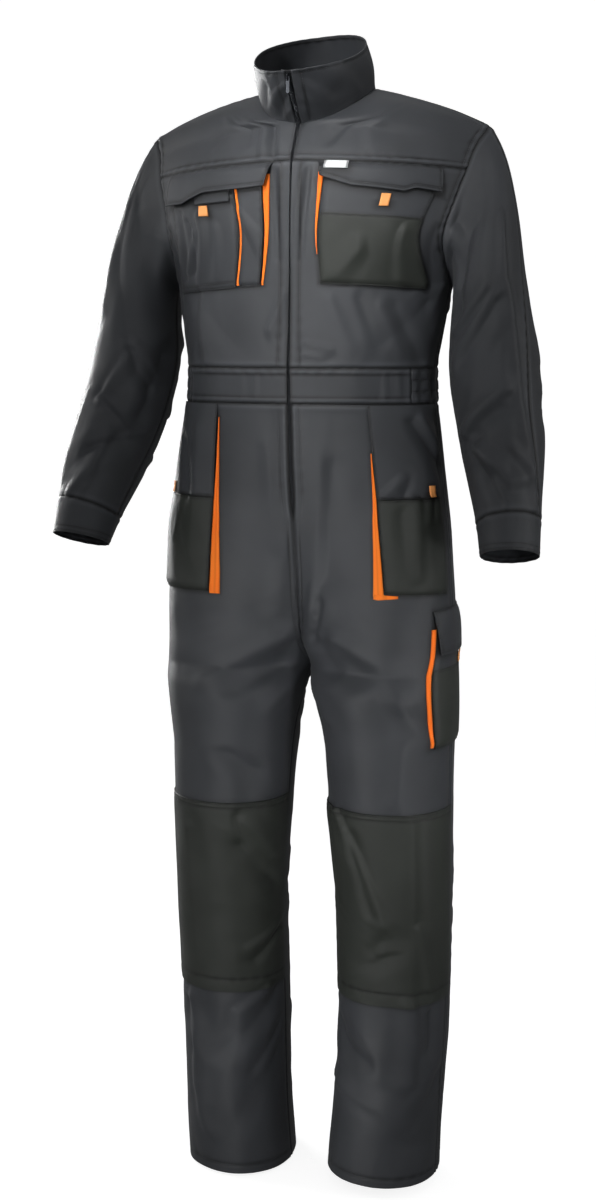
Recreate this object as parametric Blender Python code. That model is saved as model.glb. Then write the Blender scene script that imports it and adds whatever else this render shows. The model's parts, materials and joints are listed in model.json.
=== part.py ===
"""Boiler suit: a two-tone work coverall, filled out as worn, with nobody in it.

Metres, +Z up. The front faces -Y and the wearer's left is +X. The origin is midway between the
sides of the neck, where the wearer's shoulders hold the suit up.

A panel is a surface worked out from a short table of arches (body and legs) or rings (sleeves).
Its cloth is a grid over that surface, extruded to the thickness of the wall. A pocket, flap or
patch is a grid over the same surface, moved out.
"""

import math
from collections import namedtuple

import bmesh
import bpy
import numpy as np
from mathutils import Matrix, Vector

# ---------------------------------------------------------------- driving sizes
CLOTH = 0.0016          # wall of the main cloth
SEAM = 0.0002           # each piece stops this far short of its seam, so two pieces are 0.3 to 0.4 mm apart
LAY = 0.0004            # clear space under a piece cut to the same grid as what it lies on

# neckline, seen from above an egg round the neck
NECK_HALF_WIDTH = 0.075
NECK_MIDDLE = 0.032     # the side of the neck, behind the middle of the waist
NECK_FRONT = 0.088      # centre front of the neckline, ahead of the side of the neck
NECK_BACK = 0.075
NECK_LEVEL = -0.007
NECK_DROP_FRONT = 0.050
NECK_RISE_BACK = 0.012

# top edge of the collar: higher at the back, leaning forward at the zip
RIM_HALF_WIDTH = 0.070
RIM_MIDDLE = -0.006
RIM_FRONT = 0.096
RIM_BACK = 0.088
RIM_FRONT_LEVEL = 0.002
RIM_BACK_LEVEL = 0.073

UNDERARM = -0.260
YOKE = -0.106           # seam between yoke and chest, at the centre front
SHOULDER_FRONT = 0.0    # level of the shoulder seam in the table of the front
SHOULDER_BACK = 0.010   # and in that of the back
NECK_POINT_FRONT = -0.057
NECK_POINT_BACK = 0.004
WAIST_TOP = -0.370      # top and bottom seams of the waistband
WAIST_BOTTOM = -0.417
CROTCH = -0.772
KNEE_TOP = -0.958       # edges of the knee patches
KNEE_BOTTOM = -1.236
HEM = -1.500
THIGH = -0.800
LEFT, RIGHT = 1, -1     # the wearer's sides: LEFT is +X
BOTH = 0

# how each leg hangs below the thigh: slimmer by a share of the distance from about, and longer
Leg = namedtuple("Leg", "about slimmer longer")
LEGS = {LEFT: Leg(0.240, 0.034, -0.004), RIGHT: Leg(-0.057, 0.070, 0.009)}
FLY_END = -0.570        # lower end of the zip
GATHERS = 25            # small gathers of the elastic waistband
GATHER = 0.0011         # their height either way
GATHER_UNEVEN = 0.0003
SLIT = 1.8              # half of the zip's opening at the neckline, in degrees round the neck

TAPE = 0.0010
TAPE_HALF_WIDTH = 0.010
TAPE_EDGE_BACK = 0.0010  # the tape's edges lie this much further in than its middle,
TAPE_EDGE_NECK = 0.0028  # and this much round the neck
TAPE_NECK_BACK = 0.0010  # the whole tape lies this much further in where the collar begins
SLIDER_DROP = 0.0065    # the slider's middle, below the collar's top edge
SLIDER_WIDTH = 0.0060
SLIDER_LENGTH = 0.0090
SLIDER_FACE = 0.0022    # the slider's front, ahead of the cloth's inner face
BRIDGE_WIDTH = 0.0014
BRIDGE_RISE = 0.0034
PULL_AXIS = 0.0037      # the pull's bar, ahead of the cloth's inner face
PULL_THICK = 0.0011
PULL_WIDTH = 0.0048
PULL_LENGTH = 0.0200
EYE_HALF = 0.0014       # the pull's eye, which the bridge runs through
EYE_END = 0.0049

# One row is one arch of cloth, a Bezier curve from its inner edge (centre front or back, neckline,
# or inseam) to its outer edge (side seam or armhole). A heading is in degrees from straight
# outwards: 90 runs backwards and -90 forwards. A reach is how far the arch keeps that heading.
# A crown lifts the middle of the arch. At a corner that edge may turn sharply between rows.
Arch = namedtuple(
    "Arch",
    "level in_x in_y in_z in_heading in_reach out_x out_y out_z out_heading out_reach crown corner",
    defaults=[0.0, ""],
)


def neckline(degrees):
    """The neckline from the centre front (0) by the side of the neck (90) to the centre back (180)."""
    turn = math.radians(degrees)
    forward = math.cos(turn)
    x = NECK_HALF_WIDTH * math.sin(turn)
    if forward > 0:
        return (x, NECK_MIDDLE - NECK_FRONT * forward, NECK_LEVEL - NECK_DROP_FRONT * forward**1.3)
    return (x, NECK_MIDDLE - NECK_BACK * forward, NECK_LEVEL + NECK_RISE_BACK * forward**2)


BODICE_FRONT = [
    Arch(-0.417, 0.0020, -0.097, -0.417, 0, 0.100, 0.173, -0.006, -0.417, 90, 0.060),
    Arch(-0.370, 0.0018, -0.099, -0.370, 0, 0.100, 0.172, -0.004, -0.370, 90, 0.060),
    Arch(-0.320, 0.0012, -0.096, -0.320, 0, 0.108, 0.179, 0.002, -0.322, 90, 0.066),
    Arch(-0.260, 0.0009, -0.093, -0.260, 0, 0.115, 0.189, 0.010, -0.262, 86, 0.062, corner="outer"),
    Arch(-0.200, 0.0008, -0.093, -0.200, 0, 0.120, 0.188, -0.038, -0.206, 68, 0.035),
    Arch(-0.145, 0.0010, -0.090, -0.146, 0, 0.120, 0.200, -0.027, -0.158, 52, 0.042),
    Arch(-0.106, 0.0015, -0.084, -0.106, 0, 0.110, 0.212, -0.012, -0.118, 42, 0.050),
    Arch(-0.057, *neckline(SLIT), 0, 0.070, 0.219, 0.004, -0.089, 32, 0.055, 0.004, "inner"),
    Arch(-0.038, *neckline(30), -8, 0.060, 0.225, 0.013, -0.076, 24, 0.055, 0.006),
    Arch(-0.019, *neckline(60), -8, 0.052, 0.230, 0.021, -0.067, 14, 0.055, 0.008),
    Arch(0.0, *neckline(90), 0, 0.050, 0.233, 0.028, -0.061, 0, 0.055, 0.007),
]
BODICE_BACK = [
    Arch(-0.417, 0.0, 0.088, -0.417, 0, 0.100, 0.173, -0.006, -0.417, -90, 0.062),
    Arch(-0.370, 0.0, 0.088, -0.370, 0, 0.100, 0.172, -0.004, -0.370, -90, 0.060),
    Arch(-0.320, 0.0, 0.104, -0.320, 0, 0.108, 0.179, 0.002, -0.322, -90, 0.068),
    Arch(-0.260, 0.0, 0.126, -0.260, 0, 0.115, 0.189, 0.010, -0.262, -86, 0.070, corner="outer"),
    Arch(-0.200, 0.0, 0.142, -0.200, 0, 0.120, 0.190, 0.074, -0.205, -68, 0.040),
    Arch(-0.145, 0.0, 0.149, -0.145, 0, 0.120, 0.198, 0.092, -0.152, -55, 0.045),
    Arch(-0.098, 0.0, 0.147, -0.097, 0, 0.115, 0.209, 0.092, -0.112, -42, 0.050),
    Arch(-0.050, 0.0, 0.133, -0.045, 0, 0.105, 0.219, 0.076, -0.085, -30, 0.055, 0.006),
    Arch(0.004, *neckline(180), 0, 0.075, 0.227, 0.052, -0.070, -20, 0.055, 0.008, "inner"),
    Arch(0.006, *neckline(150), 6, 0.060, 0.230, 0.044, -0.066, -14, 0.055, 0.009),
    Arch(0.008, *neckline(120), 6, 0.052, 0.232, 0.036, -0.063, -8, 0.055, 0.009),
    Arch(0.010, *neckline(90), 0, 0.050, 0.233, 0.028, -0.061, 0, 0.055, 0.007),
]
LEG_FRONT = [
    Arch(-1.500, 0.027, -0.008, -1.500, -90, 0.103, 0.186, -0.008, -1.500, 90, 0.103),
    Arch(-1.410, 0.034, -0.008, -1.410, -90, 0.103, 0.190, -0.008, -1.410, 90, 0.103),
    Arch(-1.270, 0.040, -0.001, -1.270, -90, 0.104, 0.196, -0.001, -1.270, 90, 0.104),
    Arch(-1.130, 0.041, -0.006, -1.130, -90, 0.107, 0.199, -0.006, -1.130, 90, 0.107),
    Arch(-0.990, 0.031, -0.014, -0.990, -90, 0.113, 0.200, -0.014, -0.990, 90, 0.113),
    Arch(-0.860, 0.020, -0.010, -0.860, -90, 0.122, 0.201, -0.014, -0.860, 90, 0.120),
    Arch(-0.800, 0.006, -0.004, -0.803, -86, 0.130, 0.201, -0.014, -0.800, 90, 0.120),
    Arch(-0.772, 0.0, 0.004, -0.776, -76, 0.118, 0.200, -0.012, -0.772, 90, 0.116, corner="inner"),
    Arch(-0.742, 0.0, -0.038, -0.742, -52, 0.094, 0.200, -0.010, -0.742, 90, 0.106),
    Arch(-0.695, 0.0, -0.058, -0.695, -32, 0.094, 0.200, -0.010, -0.695, 90, 0.096),
    Arch(-0.640, 0.0, -0.067, -0.640, -18, 0.102, 0.197, -0.010, -0.640, 90, 0.086),
    Arch(-0.570, 0.0, -0.080, -0.570, -8, 0.108, 0.192, -0.010, -0.570, 90, 0.074, corner="inner"),
    Arch(-0.545, 0.0020, -0.084, -0.545, -5, 0.108, 0.189, -0.009, -0.545, 90, 0.070),
    Arch(-0.490, 0.0022, -0.092, -0.490, -1, 0.106, 0.182, -0.007, -0.490, 90, 0.064),
    Arch(-0.417, 0.0020, -0.097, -0.417, 0, 0.100, 0.173, -0.006, -0.417, 90, 0.060),
]
LEG_BACK = [
    Arch(-1.500, 0.027, -0.008, -1.500, 90, 0.124, 0.186, -0.008, -1.500, -90, 0.124),
    Arch(-1.410, 0.034, -0.008, -1.410, 90, 0.129, 0.190, -0.008, -1.410, -90, 0.129),
    Arch(-1.270, 0.040, -0.001, -1.270, 90, 0.131, 0.196, -0.001, -1.270, -90, 0.131),
    Arch(-1.130, 0.041, -0.006, -1.130, 90, 0.133, 0.199, -0.006, -1.130, -90, 0.133),
    Arch(-0.990, 0.031, -0.014, -0.990, 90, 0.140, 0.200, -0.014, -0.990, -90, 0.140),
    Arch(-0.860, 0.020, -0.010, -0.860, 90, 0.155, 0.201, -0.014, -0.860, -90, 0.155),
    Arch(-0.800, 0.006, -0.004, -0.803, 84, 0.160, 0.201, -0.014, -0.800, -90, 0.162),
    Arch(-0.772, 0.0, 0.004, -0.776, 74, 0.155, 0.200, -0.012, -0.772, -90, 0.156, corner="inner"),
    Arch(-0.742, 0.000, 0.058, -0.742, 48, 0.110, 0.200, -0.010, -0.742, -90, 0.136),
    Arch(-0.695, 0.000, 0.100, -0.695, 20, 0.100, 0.200, -0.010, -0.695, -90, 0.112),
    Arch(-0.640, 0.000, 0.118, -0.640, 6, 0.108, 0.197, -0.010, -0.640, -90, 0.097),
    Arch(-0.570, 0.000, 0.117, -0.570, 0, 0.110, 0.192, -0.010, -0.570, -90, 0.088, corner="inner"),
    Arch(-0.545, 0.000, 0.113, -0.545, 0, 0.110, 0.189, -0.009, -0.545, -90, 0.082),
    Arch(-0.490, 0.000, 0.102, -0.490, 0, 0.106, 0.182, -0.007, -0.490, -90, 0.072),
    Arch(-0.417, 0.000, 0.088, -0.417, 0, 0.100, 0.173, -0.006, -0.417, -90, 0.062),
]

# One row is one ring round the sleeve: run is the distance down from the armhole, outer and inner
# are its points away from and next to the body, pitch lowers its back, and seam is how far forward
# of the outer point the overarm seam lies, both in degrees.
Ring = namedtuple("Ring", "run outer_x outer_z inner_x inner_z y half_depth pitch seam")
SLEEVE = [
    Ring(0.150, 0.288, -0.255, 0.198, -0.306, -0.002, 0.070, 4, 12),
    Ring(0.235, 0.306, -0.345, 0.196, -0.368, -0.010, 0.070, 8, 26),
    Ring(0.295, 0.317, -0.410, 0.207, -0.428, -0.024, 0.068, 14, 34),
    Ring(0.345, 0.324, -0.455, 0.219, -0.473, -0.042, 0.064, 20, 34),
    Ring(0.395, 0.328, -0.500, 0.235, -0.520, -0.064, 0.058, 25, 24),
    Ring(0.445, 0.331, -0.551, 0.251, -0.566, -0.086, 0.050, 23, 12),
    Ring(0.500, 0.334, -0.607, 0.262, -0.612, -0.108, 0.041, 18, 4),
]
CUFF_RUN = 0.450        # seam between sleeve and cuff
SLEEVE_END = 0.494


# ---------------------------------------------------------------- surfaces
INNER = slice(1, 6)     # columns of an arch's inner end, and of its outer end
OUTER = slice(6, 11)


def between_rows(table, marks_wanted):
    """Every column of the table at each mark, on a smooth curve through the rows."""
    data = np.array([row[: 12 if isinstance(row, Arch) else 9] for row in table], float)
    marks = data[:, 0]
    wanted = np.clip(marks_wanted, marks[0], marks[-1])
    slope = np.diff(data, axis=0) / np.diff(marks)[:, None]
    smooth = np.vstack([slope[:1], (data[2:] - data[:-2]) / (marks[2:] - marks[:-2])[:, None], slope[-1:]])
    corner = np.zeros(data.shape, bool)
    for number, row in enumerate(table):
        turn = getattr(row, "corner", "")
        corner[number, INNER if turn == "inner" else OUTER] = bool(turn)
    place = np.clip(np.searchsorted(marks, wanted, side="right") - 1, 0, len(slope) - 1)
    step = (marks[place + 1] - marks[place])[:, None]
    t = (wanted - marks[place])[:, None] / step
    leaving = np.where(corner[place], slope[place], smooth[place])
    arriving = np.where(corner[place + 1], slope[place], smooth[place + 1])
    return (
        data[place] * (2 * t**3 - 3 * t**2 + 1)
        + data[place + 1] * (3 * t**2 - 2 * t**3)
        + leaving * step * (t**3 - 2 * t**2 + t)
        + arriving * step * (t**3 - t**2)
    )


def bezier(start, leave, arrive, end, t):
    return (1 - t) ** 3 * start + 3 * t * (1 - t) ** 2 * leave + 3 * t**2 * (1 - t) * arrive + t**3 * end


def arches(table):
    """The surface through a table of arches: (share across, level) to points on the wearer's left."""

    def surface(across, levels):
        row = between_rows(table, levels)
        inner, outer = row[:, 1:4], row[:, 6:9]
        start, end = np.radians(row[:, 4]), np.radians(row[:, 9])
        leave = inner + row[:, 5:6] * np.stack([np.cos(start), np.sin(start), 0 * start], 1)
        arrive = outer - row[:, 10:11] * np.stack([np.cos(end), np.sin(end), 0 * end], 1)
        leave[:, 2] += (outer - inner)[:, 2] / 3 + row[:, 11] * 4 / 3
        arrive[:, 2] += (inner - outer)[:, 2] / 3 + row[:, 11] * 4 / 3
        t = np.linspace(0, 1, 33)[:, None, None]
        lines = bezier(inner, leave, arrive, outer, t)
        run = np.cumsum(np.linalg.norm(np.diff(lines, axis=0), axis=2), axis=0)
        run = np.vstack([np.zeros(len(across)), run])
        found = np.empty((len(across), 3))
        for k, share in enumerate(np.clip(across, 0, 1)):
            at = np.interp(share * run[-1, k], run[:, k], t[:, 0, 0])
            found[k] = bezier(inner[k], leave[k], arrive[k], outer[k], at)
        return found

    return surface


chest = arches(BODICE_FRONT)
back = arches(BODICE_BACK)
leg_front = arches(LEG_FRONT)
leg_back = arches(LEG_BACK)


def sleeve(surface, armhole_levels, half):
    """One half of the sleeve: (share from the underarm to the overarm seam, run) to points.

    half is 1 for the front piece and -1 for the back piece.
    """
    shares = np.linspace(0, 1, len(armhole_levels))
    first = SLEEVE[0].run

    def ring_point(share, run):
        row = between_rows(SLEEVE, run)
        outer, inner = row[:, [1, 5, 2]], row[:, [3, 5, 4]]
        pitch, seam = np.radians(row[:, 7]), np.radians(row[:, 8])
        turn = math.pi - (math.pi - half * seam) * share
        back_way = row[:, 6:7] * np.stack([0 * pitch, np.cos(pitch), -np.sin(pitch)], 1)
        middle, reach = (outer + inner) / 2, (outer - inner) / 2
        return middle + reach * np.cos(turn)[:, None] - half * back_way * np.sin(turn)[:, None]

    def cap_point(share, run):
        start = surface(np.ones_like(share), np.interp(share, shares, armhole_levels))
        at_ring = np.full_like(run, first)
        end = ring_point(share, at_ring)
        way = (ring_point(share, at_ring + 0.01) - end) / 0.01
        out = np.stack([0.7 + 0 * share, -0.25 * share, -0.7 - 0.3 * share], 1)
        out *= np.linalg.norm(end - start, axis=1, keepdims=True) / 3 / np.linalg.norm(out, axis=1, keepdims=True)
        return bezier(start, start + out, end - way * first / 3, end, (run / first)[:, None])

    def points(share, run):
        share, run = np.clip(share, 0, 1), np.clip(run, 0, SLEEVE_END)
        return np.where(run[:, None] < first, cap_point(share, np.minimum(run, first)), ring_point(share, run))

    return points


def side_of_leg(share, levels):
    """A leg's surface from the front (below 1) round the outer seam (1) to the back (above 1)."""
    turned = share > 1
    ahead = leg_front(np.minimum(share, 1), levels)
    behind = leg_back(np.clip(2 - share, 0, 1), levels)
    return np.where(turned[:, None], behind, ahead)


ON_LEGS = (leg_front, leg_back, side_of_leg)


def out_of(surface, across, levels):
    """The way out of a surface at each point, from the slopes of its two directions."""
    step_across, step_level = 0.02, 0.008
    along = surface(across + step_across, levels) - surface(across - step_across, levels)
    up = surface(across, levels + step_level) - surface(across, levels - step_level)
    out = np.cross(along, up)
    return out / np.maximum(np.linalg.norm(out, axis=1, keepdims=True), 1e-9)


# ---------------------------------------------------------------- grids
def spaced(*stops):
    """Numbers from the first stop to the last; each later stop is (value, how many steps to it)."""
    found = [stops[0]]
    for value, steps in stops[1:]:
        found += list(np.linspace(found[-1], value, steps + 1)[1:])
    return np.array(found)


ACROSS = spaced(0, (1, 8))
LEG_ACROSS = spaced(0, (1, 9))
CHEST_LEVELS = spaced(WAIST_TOP, (UNDERARM, 4), (YOKE, 4))
YOKE_LEVELS = spaced(YOKE, (NECK_POINT_FRONT, 1), (SHOULDER_FRONT, 5))
BACK_LEVELS = spaced(WAIST_TOP, (UNDERARM, 4), (NECK_POINT_BACK, 6), (SHOULDER_BACK, 5))
WAIST_LEVELS = spaced(WAIST_BOTTOM, (WAIST_TOP, 2))
ELASTIC_LEVELS = spaced(WAIST_BOTTOM, (WAIST_TOP, 4))
LEG_LEVELS = spaced(HEM, (KNEE_BOTTOM, 6), (KNEE_TOP, 6), (THIGH, 4), (CROTCH, 2), (FLY_END, 5), (WAIST_BOTTOM, 4))
SLEEVE_RUNS = spaced(0, (SLEEVE[0].run, 6), (CUFF_RUN, 12))
CUFF_RUNS = spaced(CUFF_RUN, (SLEEVE_END, 2))
ARMHOLE_FRONT = np.concatenate([CHEST_LEVELS[4:-1], YOKE_LEVELS])
ARMHOLE_BACK = BACK_LEVELS[4:]
KNEE_ROWS = (6, 12)     # rows of the leg's grid between which the knee patch lies
sleeve_front = sleeve(chest, ARMHOLE_FRONT, 1)
sleeve_back = sleeve(back, ARMHOLE_BACK, -1)


# One row is one fold: a soft ridge (height above 0) or trough from one place to another on a panel,
# with its width and height in millimetres. A level is a run on the sleeves.
Fold = namedtuple("Fold", "surface side from_across from_level to_across to_level width height")
FOLDS = [
    Fold(chest, RIGHT, 0.59, -0.285, 0.31, -0.346, 20, -3.0),
    Fold(chest, LEFT, 0.80, -0.285, 0.53, -0.345, 20, -3.0),
    Fold(back, BOTH, 0.12, -0.325, 0.70, -0.270, 22, 3.5),
    Fold(back, LEFT, 0.45, -0.090, 0.80, -0.200, 22, -3.0),
    Fold(back, RIGHT, 0.50, -0.110, 0.80, -0.180, 22, -3.0),
    Fold(leg_front, RIGHT, 0.06, -0.730, 0.48, -0.769, 20, 3.5),
    Fold(leg_front, LEFT, 0.06, -0.735, 0.46, -0.800, 20, 3.0),
    Fold(leg_front, RIGHT, 0.34, -1.020, 0.05, -1.095, 20, -4.0),
    Fold(leg_front, LEFT, 0.22, -0.975, 0.53, -1.110, 20, 3.5),
    Fold(leg_front, LEFT, 0.46, -1.175, 0.62, -1.145, 20, -4.0),
    Fold(leg_front, RIGHT, 0.69, -1.300, 0.58, -1.345, 18, 3.0),
    Fold(leg_front, RIGHT, 0.58, -1.345, 0.67, -1.450, 18, 3.0),
    Fold(leg_front, RIGHT, 0.10, -1.250, 0.46, -1.320, 18, -3.5),
    Fold(leg_front, RIGHT, 0.05, -1.320, 0.30, -1.384, 18, -3.0),
    Fold(leg_front, LEFT, 0.24, -1.278, 0.38, -1.365, 18, -3.0),
    Fold(leg_front, LEFT, 0.69, -1.240, 0.71, -1.285, 18, 4.0),
    Fold(leg_front, LEFT, 0.92, -1.350, 0.69, -1.432, 18, -3.0),
    Fold(leg_back, BOTH, 0.10, -0.810, 0.60, -0.845, 24, -4.0),
    Fold(leg_back, LEFT, 0.15, -1.060, 0.75, -1.110, 22, -5.0),
    Fold(leg_back, RIGHT, 0.20, -1.090, 0.80, -1.060, 22, -5.0),
    Fold(leg_back, LEFT, 0.30, -1.280, 0.70, -1.370, 20, 3.5),
    Fold(leg_back, RIGHT, 0.25, -1.300, 0.65, -1.350, 20, 3.5),
    Fold(sleeve_front, RIGHT, 0.64, 0.303, 0.29, 0.343, 18, -4.0),
    Fold(sleeve_front, RIGHT, 0.29, 0.343, 0.72, 0.415, 18, -3.5),
    Fold(sleeve_front, RIGHT, 0.25, 0.317, 0.17, 0.225, 18, -4.0),
    Fold(sleeve_front, LEFT, 0.33, 0.243, 0.68, 0.176, 18, 4.0),
    Fold(sleeve_front, LEFT, 0.28, 0.336, 0.78, 0.289, 18, 4.0),
    Fold(sleeve_front, LEFT, 0.43, 0.410, 0.90, 0.405, 16, -3.5),
    Fold(sleeve_back, BOTH, 0.20, 0.200, 0.70, 0.240, 20, 3.5),
    Fold(sleeve_back, LEFT, 0.20, 0.330, 0.70, 0.300, 20, -4.0),
    Fold(sleeve_back, RIGHT, 0.25, 0.320, 0.72, 0.345, 20, -4.0),
]
# for each folded surface: its width in metres, and 1 where share across times level points outwards
FOLDED = {
    chest: (0.25, 1), back: (0.26, -1), leg_front: (0.21, 1), leg_back: (0.26, -1),
    sleeve_front: (0.17, -1), sleeve_back: (0.18, 1),
}
FOLD_FADE = 0.035       # folds fade out this far from a seam


def fold_heights(surface, side, across, levels):
    """How far the folds of one side lift a surface at each place."""
    width = FOLDED[surface][0]
    place = np.stack([across * width, levels], 1)
    total = 0 * across
    for fold in FOLDS:
        if fold.surface != surface or fold.side not in (side, BOTH):
            continue
        start = np.array([fold.from_across * width, fold.from_level])
        way = np.array([fold.to_across * width, fold.to_level]) - start
        along = np.clip((place - start) @ way / (way @ way), 0, 1)[:, None]
        off = np.linalg.norm(place - start - along * way, axis=1)
        total += fold.height / 1000 * np.exp(-((off * 1000 / fold.width) ** 2))
    if surface in (sleeve_front, sleeve_back):
        ends = levels
    else:
        ends = np.minimum(abs(levels - WAIST_TOP), abs(levels - WAIST_BOTTOM))
    room = np.minimum(np.minimum(across, 1 - across) * width, ends)
    return total * np.clip(room / FOLD_FADE, 0, 1)


def side_points(surface, side, across, levels):
    """A grid of points over one side's surface, one row for each level, with its folds.

    Both arguments may also be whole grids.
    """
    if np.ndim(across) == 1:
        across, levels = np.meshgrid(across, levels)
    shape = across.shape
    across, levels = across.ravel(), levels.ravel()
    points = surface(across, levels)
    if surface in FOLDED:
        heights = fold_heights(surface, side, across, levels) * FOLDED[surface][1]
        points = points + out_of(surface, across, levels) * heights[:, None]
    points = points.reshape(*shape, 3)
    if side == RIGHT:
        points = mirrored(points)
    return stood(points, side) if surface in ON_LEGS else points


def mirrored(points):
    return points * (-1, 1, 1)


def stood(points, side):
    """A leg's points as it hangs."""
    leg = LEGS[side]
    below = np.clip((points[..., 2] - THIGH) / (HEM - THIGH), 0, 1)
    moved = points.copy()
    moved[..., 0] -= (points[..., 0] - leg.about) * leg.slimmer * np.clip(below * 8, 0, 1)
    moved[..., 2] -= leg.longer * below
    return moved


def grid_normals(points):
    """The way out at each point, averaged from the faces round it. Rows run up, columns outwards."""
    right = points[:-1, 1:] - points[:-1, :-1]
    up = points[1:, :-1] - points[:-1, :-1]
    far_right = points[1:, 1:] - points[1:, :-1]
    far_up = points[1:, 1:] - points[:-1, 1:]
    face = np.cross(right, up) + np.cross(far_right, far_up)
    total = np.zeros_like(points)
    for rows in (slice(None, -1), slice(1, None)):
        for columns in (slice(None, -1), slice(1, None)):
            total[rows, columns] += face
    return total / np.linalg.norm(total, axis=2, keepdims=True)


def join_normals(panels):
    """Where panels meet they share one way out, so their walls end in the same plane."""
    shared = {}
    for points, normals in panels.values():
        for point, normal in zip(points.reshape(-1, 3), normals.reshape(-1, 3)):
            key = tuple(np.round(point * 5000).astype(int))
            shared.setdefault(key, []).append(normal)
    joined = {}
    for name, (points, normals) in panels.items():
        found = np.empty_like(normals)
        for place in np.ndindex(points.shape[:2]):
            key = tuple(np.round(points[place] * 5000).astype(int))
            mean = np.sum(shared[key], axis=0)
            if min(abs(points[place][2] - WAIST_TOP), abs(points[place][2] - WAIST_BOTTOM)) < 1e-5:
                mean[2] = 0
            mean /= np.linalg.norm(mean)
            found[place] = mean / max(mean @ normals[place], 0.6)
        joined[name] = (points, found)
    return joined


def drawn_in(points, normals, by):
    """The grid with its four edges moved inwards along the cloth."""
    moved = points.copy()
    rows, columns = points.shape[:2]
    for edge in range(4):
        for k in range(columns if edge < 2 else rows):
            here, inner, before, after = {
                0: ((0, k), (1, k), (0, max(k - 1, 0)), (0, min(k + 1, columns - 1))),
                1: ((-1, k), (-2, k), (-1, max(k - 1, 0)), (-1, min(k + 1, columns - 1))),
                2: ((k, 0), (k, 1), (max(k - 1, 0), 0), (min(k + 1, rows - 1), 0)),
                3: ((k, -1), (k, -2), (max(k - 1, 0), -1), (min(k + 1, rows - 1), -1)),
            }[edge]
            out = normals[here] / np.linalg.norm(normals[here])
            tangent = points[after] - points[before]
            tangent /= np.linalg.norm(tangent)
            way = points[inner] - points[here]
            way = way - (way @ out) * out
            way = way - (way @ tangent) * tangent
            moved[here] += way / np.linalg.norm(way) * by
    return moved


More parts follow.
